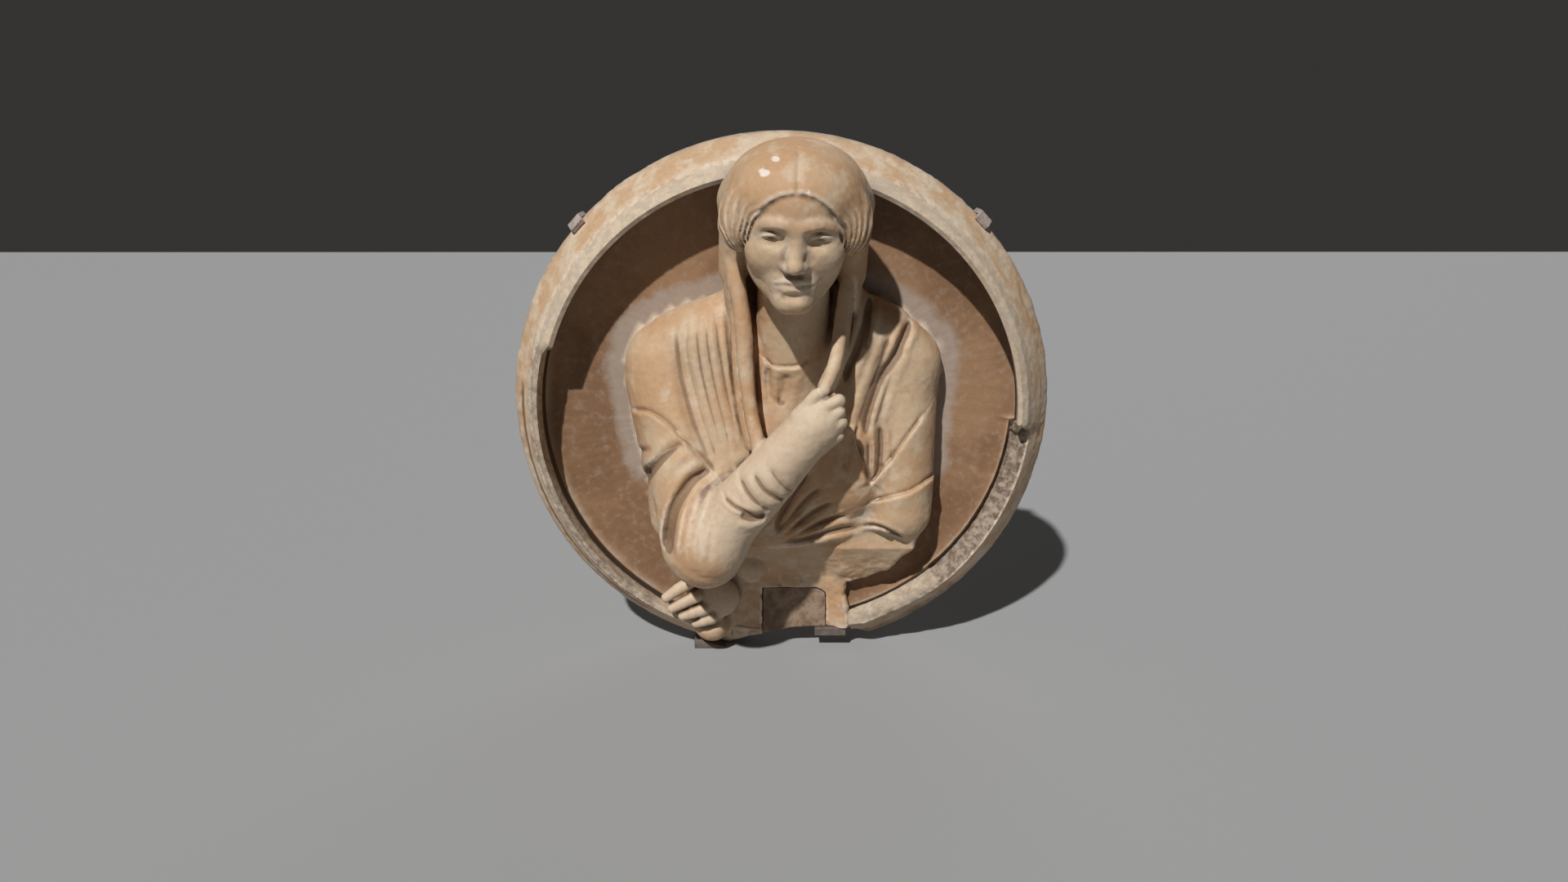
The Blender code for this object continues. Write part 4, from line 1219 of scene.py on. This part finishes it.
def slab_stone():
    material, tree, shader, place = bare("slab_stone")
    wide = noise(tree, place, 5, 4)
    blotch = noise(tree, place, 24, 5)
    smear = noise(tree, place, 80, 6, 0.7)
    field = layered(tree, FIELD_BROWN, [
        (step_up(tree, wide, 0.38, 0.62), FIELD_TAN),
        (step_up(tree, smear, 0.5, 0.66, 0.3), RUBBED_GREY),
    ])
    rim = layered(tree, RIM_TAN, [
        (step_up(tree, blotch, 0.4, 0.62), PALE),
        (step_up(tree, smear, 0.52, 0.68, 0.45), STAIN),
        # Painted shade: the lip greyer and darker
        (mask(tree, "lip", 0.8), mixed(tree, step_up(tree, smear, 0.42, 0.62), LIP_SHADE_GREY, PALE)),
    ])
    halo = sums(tree, "ADD", mask(tree, "halo"), sums(tree, "MULTIPLY", blotch, 0.5),
                sums(tree, "MULTIPLY", smear, 0.25))
    scar = mixed(tree, step_up(tree, smear, 0.42, 0.56), SCAR_BROWN, SCAR_GREY)
    side = mixed(tree, step_up(tree, blotch, 0.4, 0.6), EDGE_GREY, EDGE_TAN)
    # Painted highlight and wear: a whiter line along the crease
    worn = sums(tree, "MULTIPLY", mask(tree, "crease"), step_up(tree, smear, 0.4, 0.6), 0.6)
    colour = layered(tree, field, [
        (mask(tree, "rim"), rim),
        (step_up(tree, halo, 0.85, 1.25, 0.85), RUBBED_GREY),
        (mask(tree, "outline"), WEAR_AND_HIGHLIGHT_WHITE),
        (mask(tree, "broken"), scar),
        (mask(tree, "cracked", 0.9), DIRT_AND_SHADE_BROWN),
        (mask(tree, "side", 0.85), side),
        # Painted shade: the undercut and the wall under the lip nearly black
        (mask(tree, "slot"), SLOT_SHADE_DARK),
        (worn, WEAR_AND_HIGHLIGHT_WHITE),
    ])
    stone_finish(tree, shader, place, colour, 0.7, 0.0007)
    return material


def plain_stone(name, dark, light, scale=40, roughness=0.75):
    material, tree, shader, place = bare(name)
    colour = layered(tree, dark, [
        (step_up(tree, noise(tree, place, scale, 5), 0.38, 0.62), light),
        (step_up(tree, noise(tree, place, 3 * scale, 5), 0.52, 0.66, 0.5), DIRT_AND_SHADE_BROWN),
    ])
    stone_finish(tree, shader, place, colour, roughness, 0.0006)
    return material


# The whole piece

bust_material = bust_stone()
slab_material = slab_stone()
for piece in bust_pieces():
    piece.data.materials.append(bust_material)
    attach(piece, "root")
    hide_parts("marble_roundel")

roundel = slab()
roundel.data.materials.append(slab_material)
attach(roundel, "root")
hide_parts("marble_roundel")

# Node, new name, material, slot, mesh step, wear, size of the wear, tooling
brown_stone = plain_stone("insert_face", (0.19, 0.125, 0.08), (0.31, 0.225, 0.155))
paint = plain_stone("fitting_paint", (0.34, 0.28, 0.26), (0.44, 0.37, 0.34), 60, 0.6)
# Painted shade: the supports carry the fittings' paint darkened as if in shade
shaded_support_paint = plain_stone("support_paint_in_shade", (0.11, 0.09, 0.08), (0.17, 0.14, 0.12), 60, 0.7)
SMALL_PIECES = [
    ("repair_insert", "insert_block", brown_stone, "insert_stone", 0.0015, 1.0, 11, 0.9),
    ("upper_left_clip", "clip_upper_left", paint, "fitting", 0.0009, 0.6, 6, 0),
    ("upper_right_clip", "clip_upper_right", paint, "fitting", 0.0009, 0.6, 6, 0),
    ("lower_left_support", "support_lower_left", shaded_support_paint, "fitting", 0.0012, 0.7, 8, 0),
    ("lower_right_support", "support_lower_right", shaded_support_paint, "fitting", 0.0012, 0.7, 8, 0),
]
for old_name, new_name, finish, slot, cell, wear, size, grooves in SMALL_PIECES:
    piece = worn_copy(new_name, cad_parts[old_name], cell, wear, size, grooves)
    piece.data.materials.append(finish)
    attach(piece, "root")
    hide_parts(old_name)


# Floor, light and camera

FLOOR_REACH = 6.0
FLOOR_GREY = 0.33
FLOOR_CORNERS = ((-1, -1), (1, -1), (1, 1), (-1, 1))


def sunlight(name, travel, energy, angle):
    """Light that travels one way, from a source that looks angle degrees wide."""
    light = bpy.data.lights.new(name, "SUN")
    light.energy = energy
    light.angle = math.radians(angle)
    placed(name, light).rotation_euler = Vector(travel).to_track_quat("-Z", "Y").to_euler()


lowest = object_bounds()[0][2]
floor_mesh = bpy.data.meshes.new("floor")
corners = [(FLOOR_REACH * x, FLOOR_REACH * y, lowest) for x, y in FLOOR_CORNERS]
floor_mesh.from_pydata(corners, [], [(0, 1, 2, 3)])
floor = placed("floor", floor_mesh)
floor_material, _, floor_shader, _ = bare("floor_paper")
floor_shader.inputs["Base Color"].default_value = (FLOOR_GREY, FLOOR_GREY, FLOOR_GREY, 1)
floor_shader.inputs["Roughness"].default_value = 0.9
floor_mesh.materials.append(floor_material)

sunlight("key", (0.36, 0.85, -1.0), 3.75, 1.5)
sunlight("back_fill", (-0.3, -1.0, -0.5), 0.35, 40)
world = bpy.data.worlds.new("studio")
world.use_nodes = True
world.node_tree.nodes["Background"].inputs["Color"].default_value = (1.0, 0.97, 0.93, 1)
world.node_tree.nodes["Background"].inputs["Strength"].default_value = 0.035
scene = bpy.context.scene
scene.world = world
scene.view_settings.view_transform = "Standard"

camera_data = bpy.data.cameras.new("camera")
camera_data.lens = 24.44
camera_data.sensor_width = 36
camera_data.sensor_fit = "HORIZONTAL"
camera = placed("camera", camera_data)
camera.location = (0, -1.789, 0.463)
camera.rotation_euler = (math.radians(90 - 16.7), 0, -math.radians(0.13))
scene.camera = camera
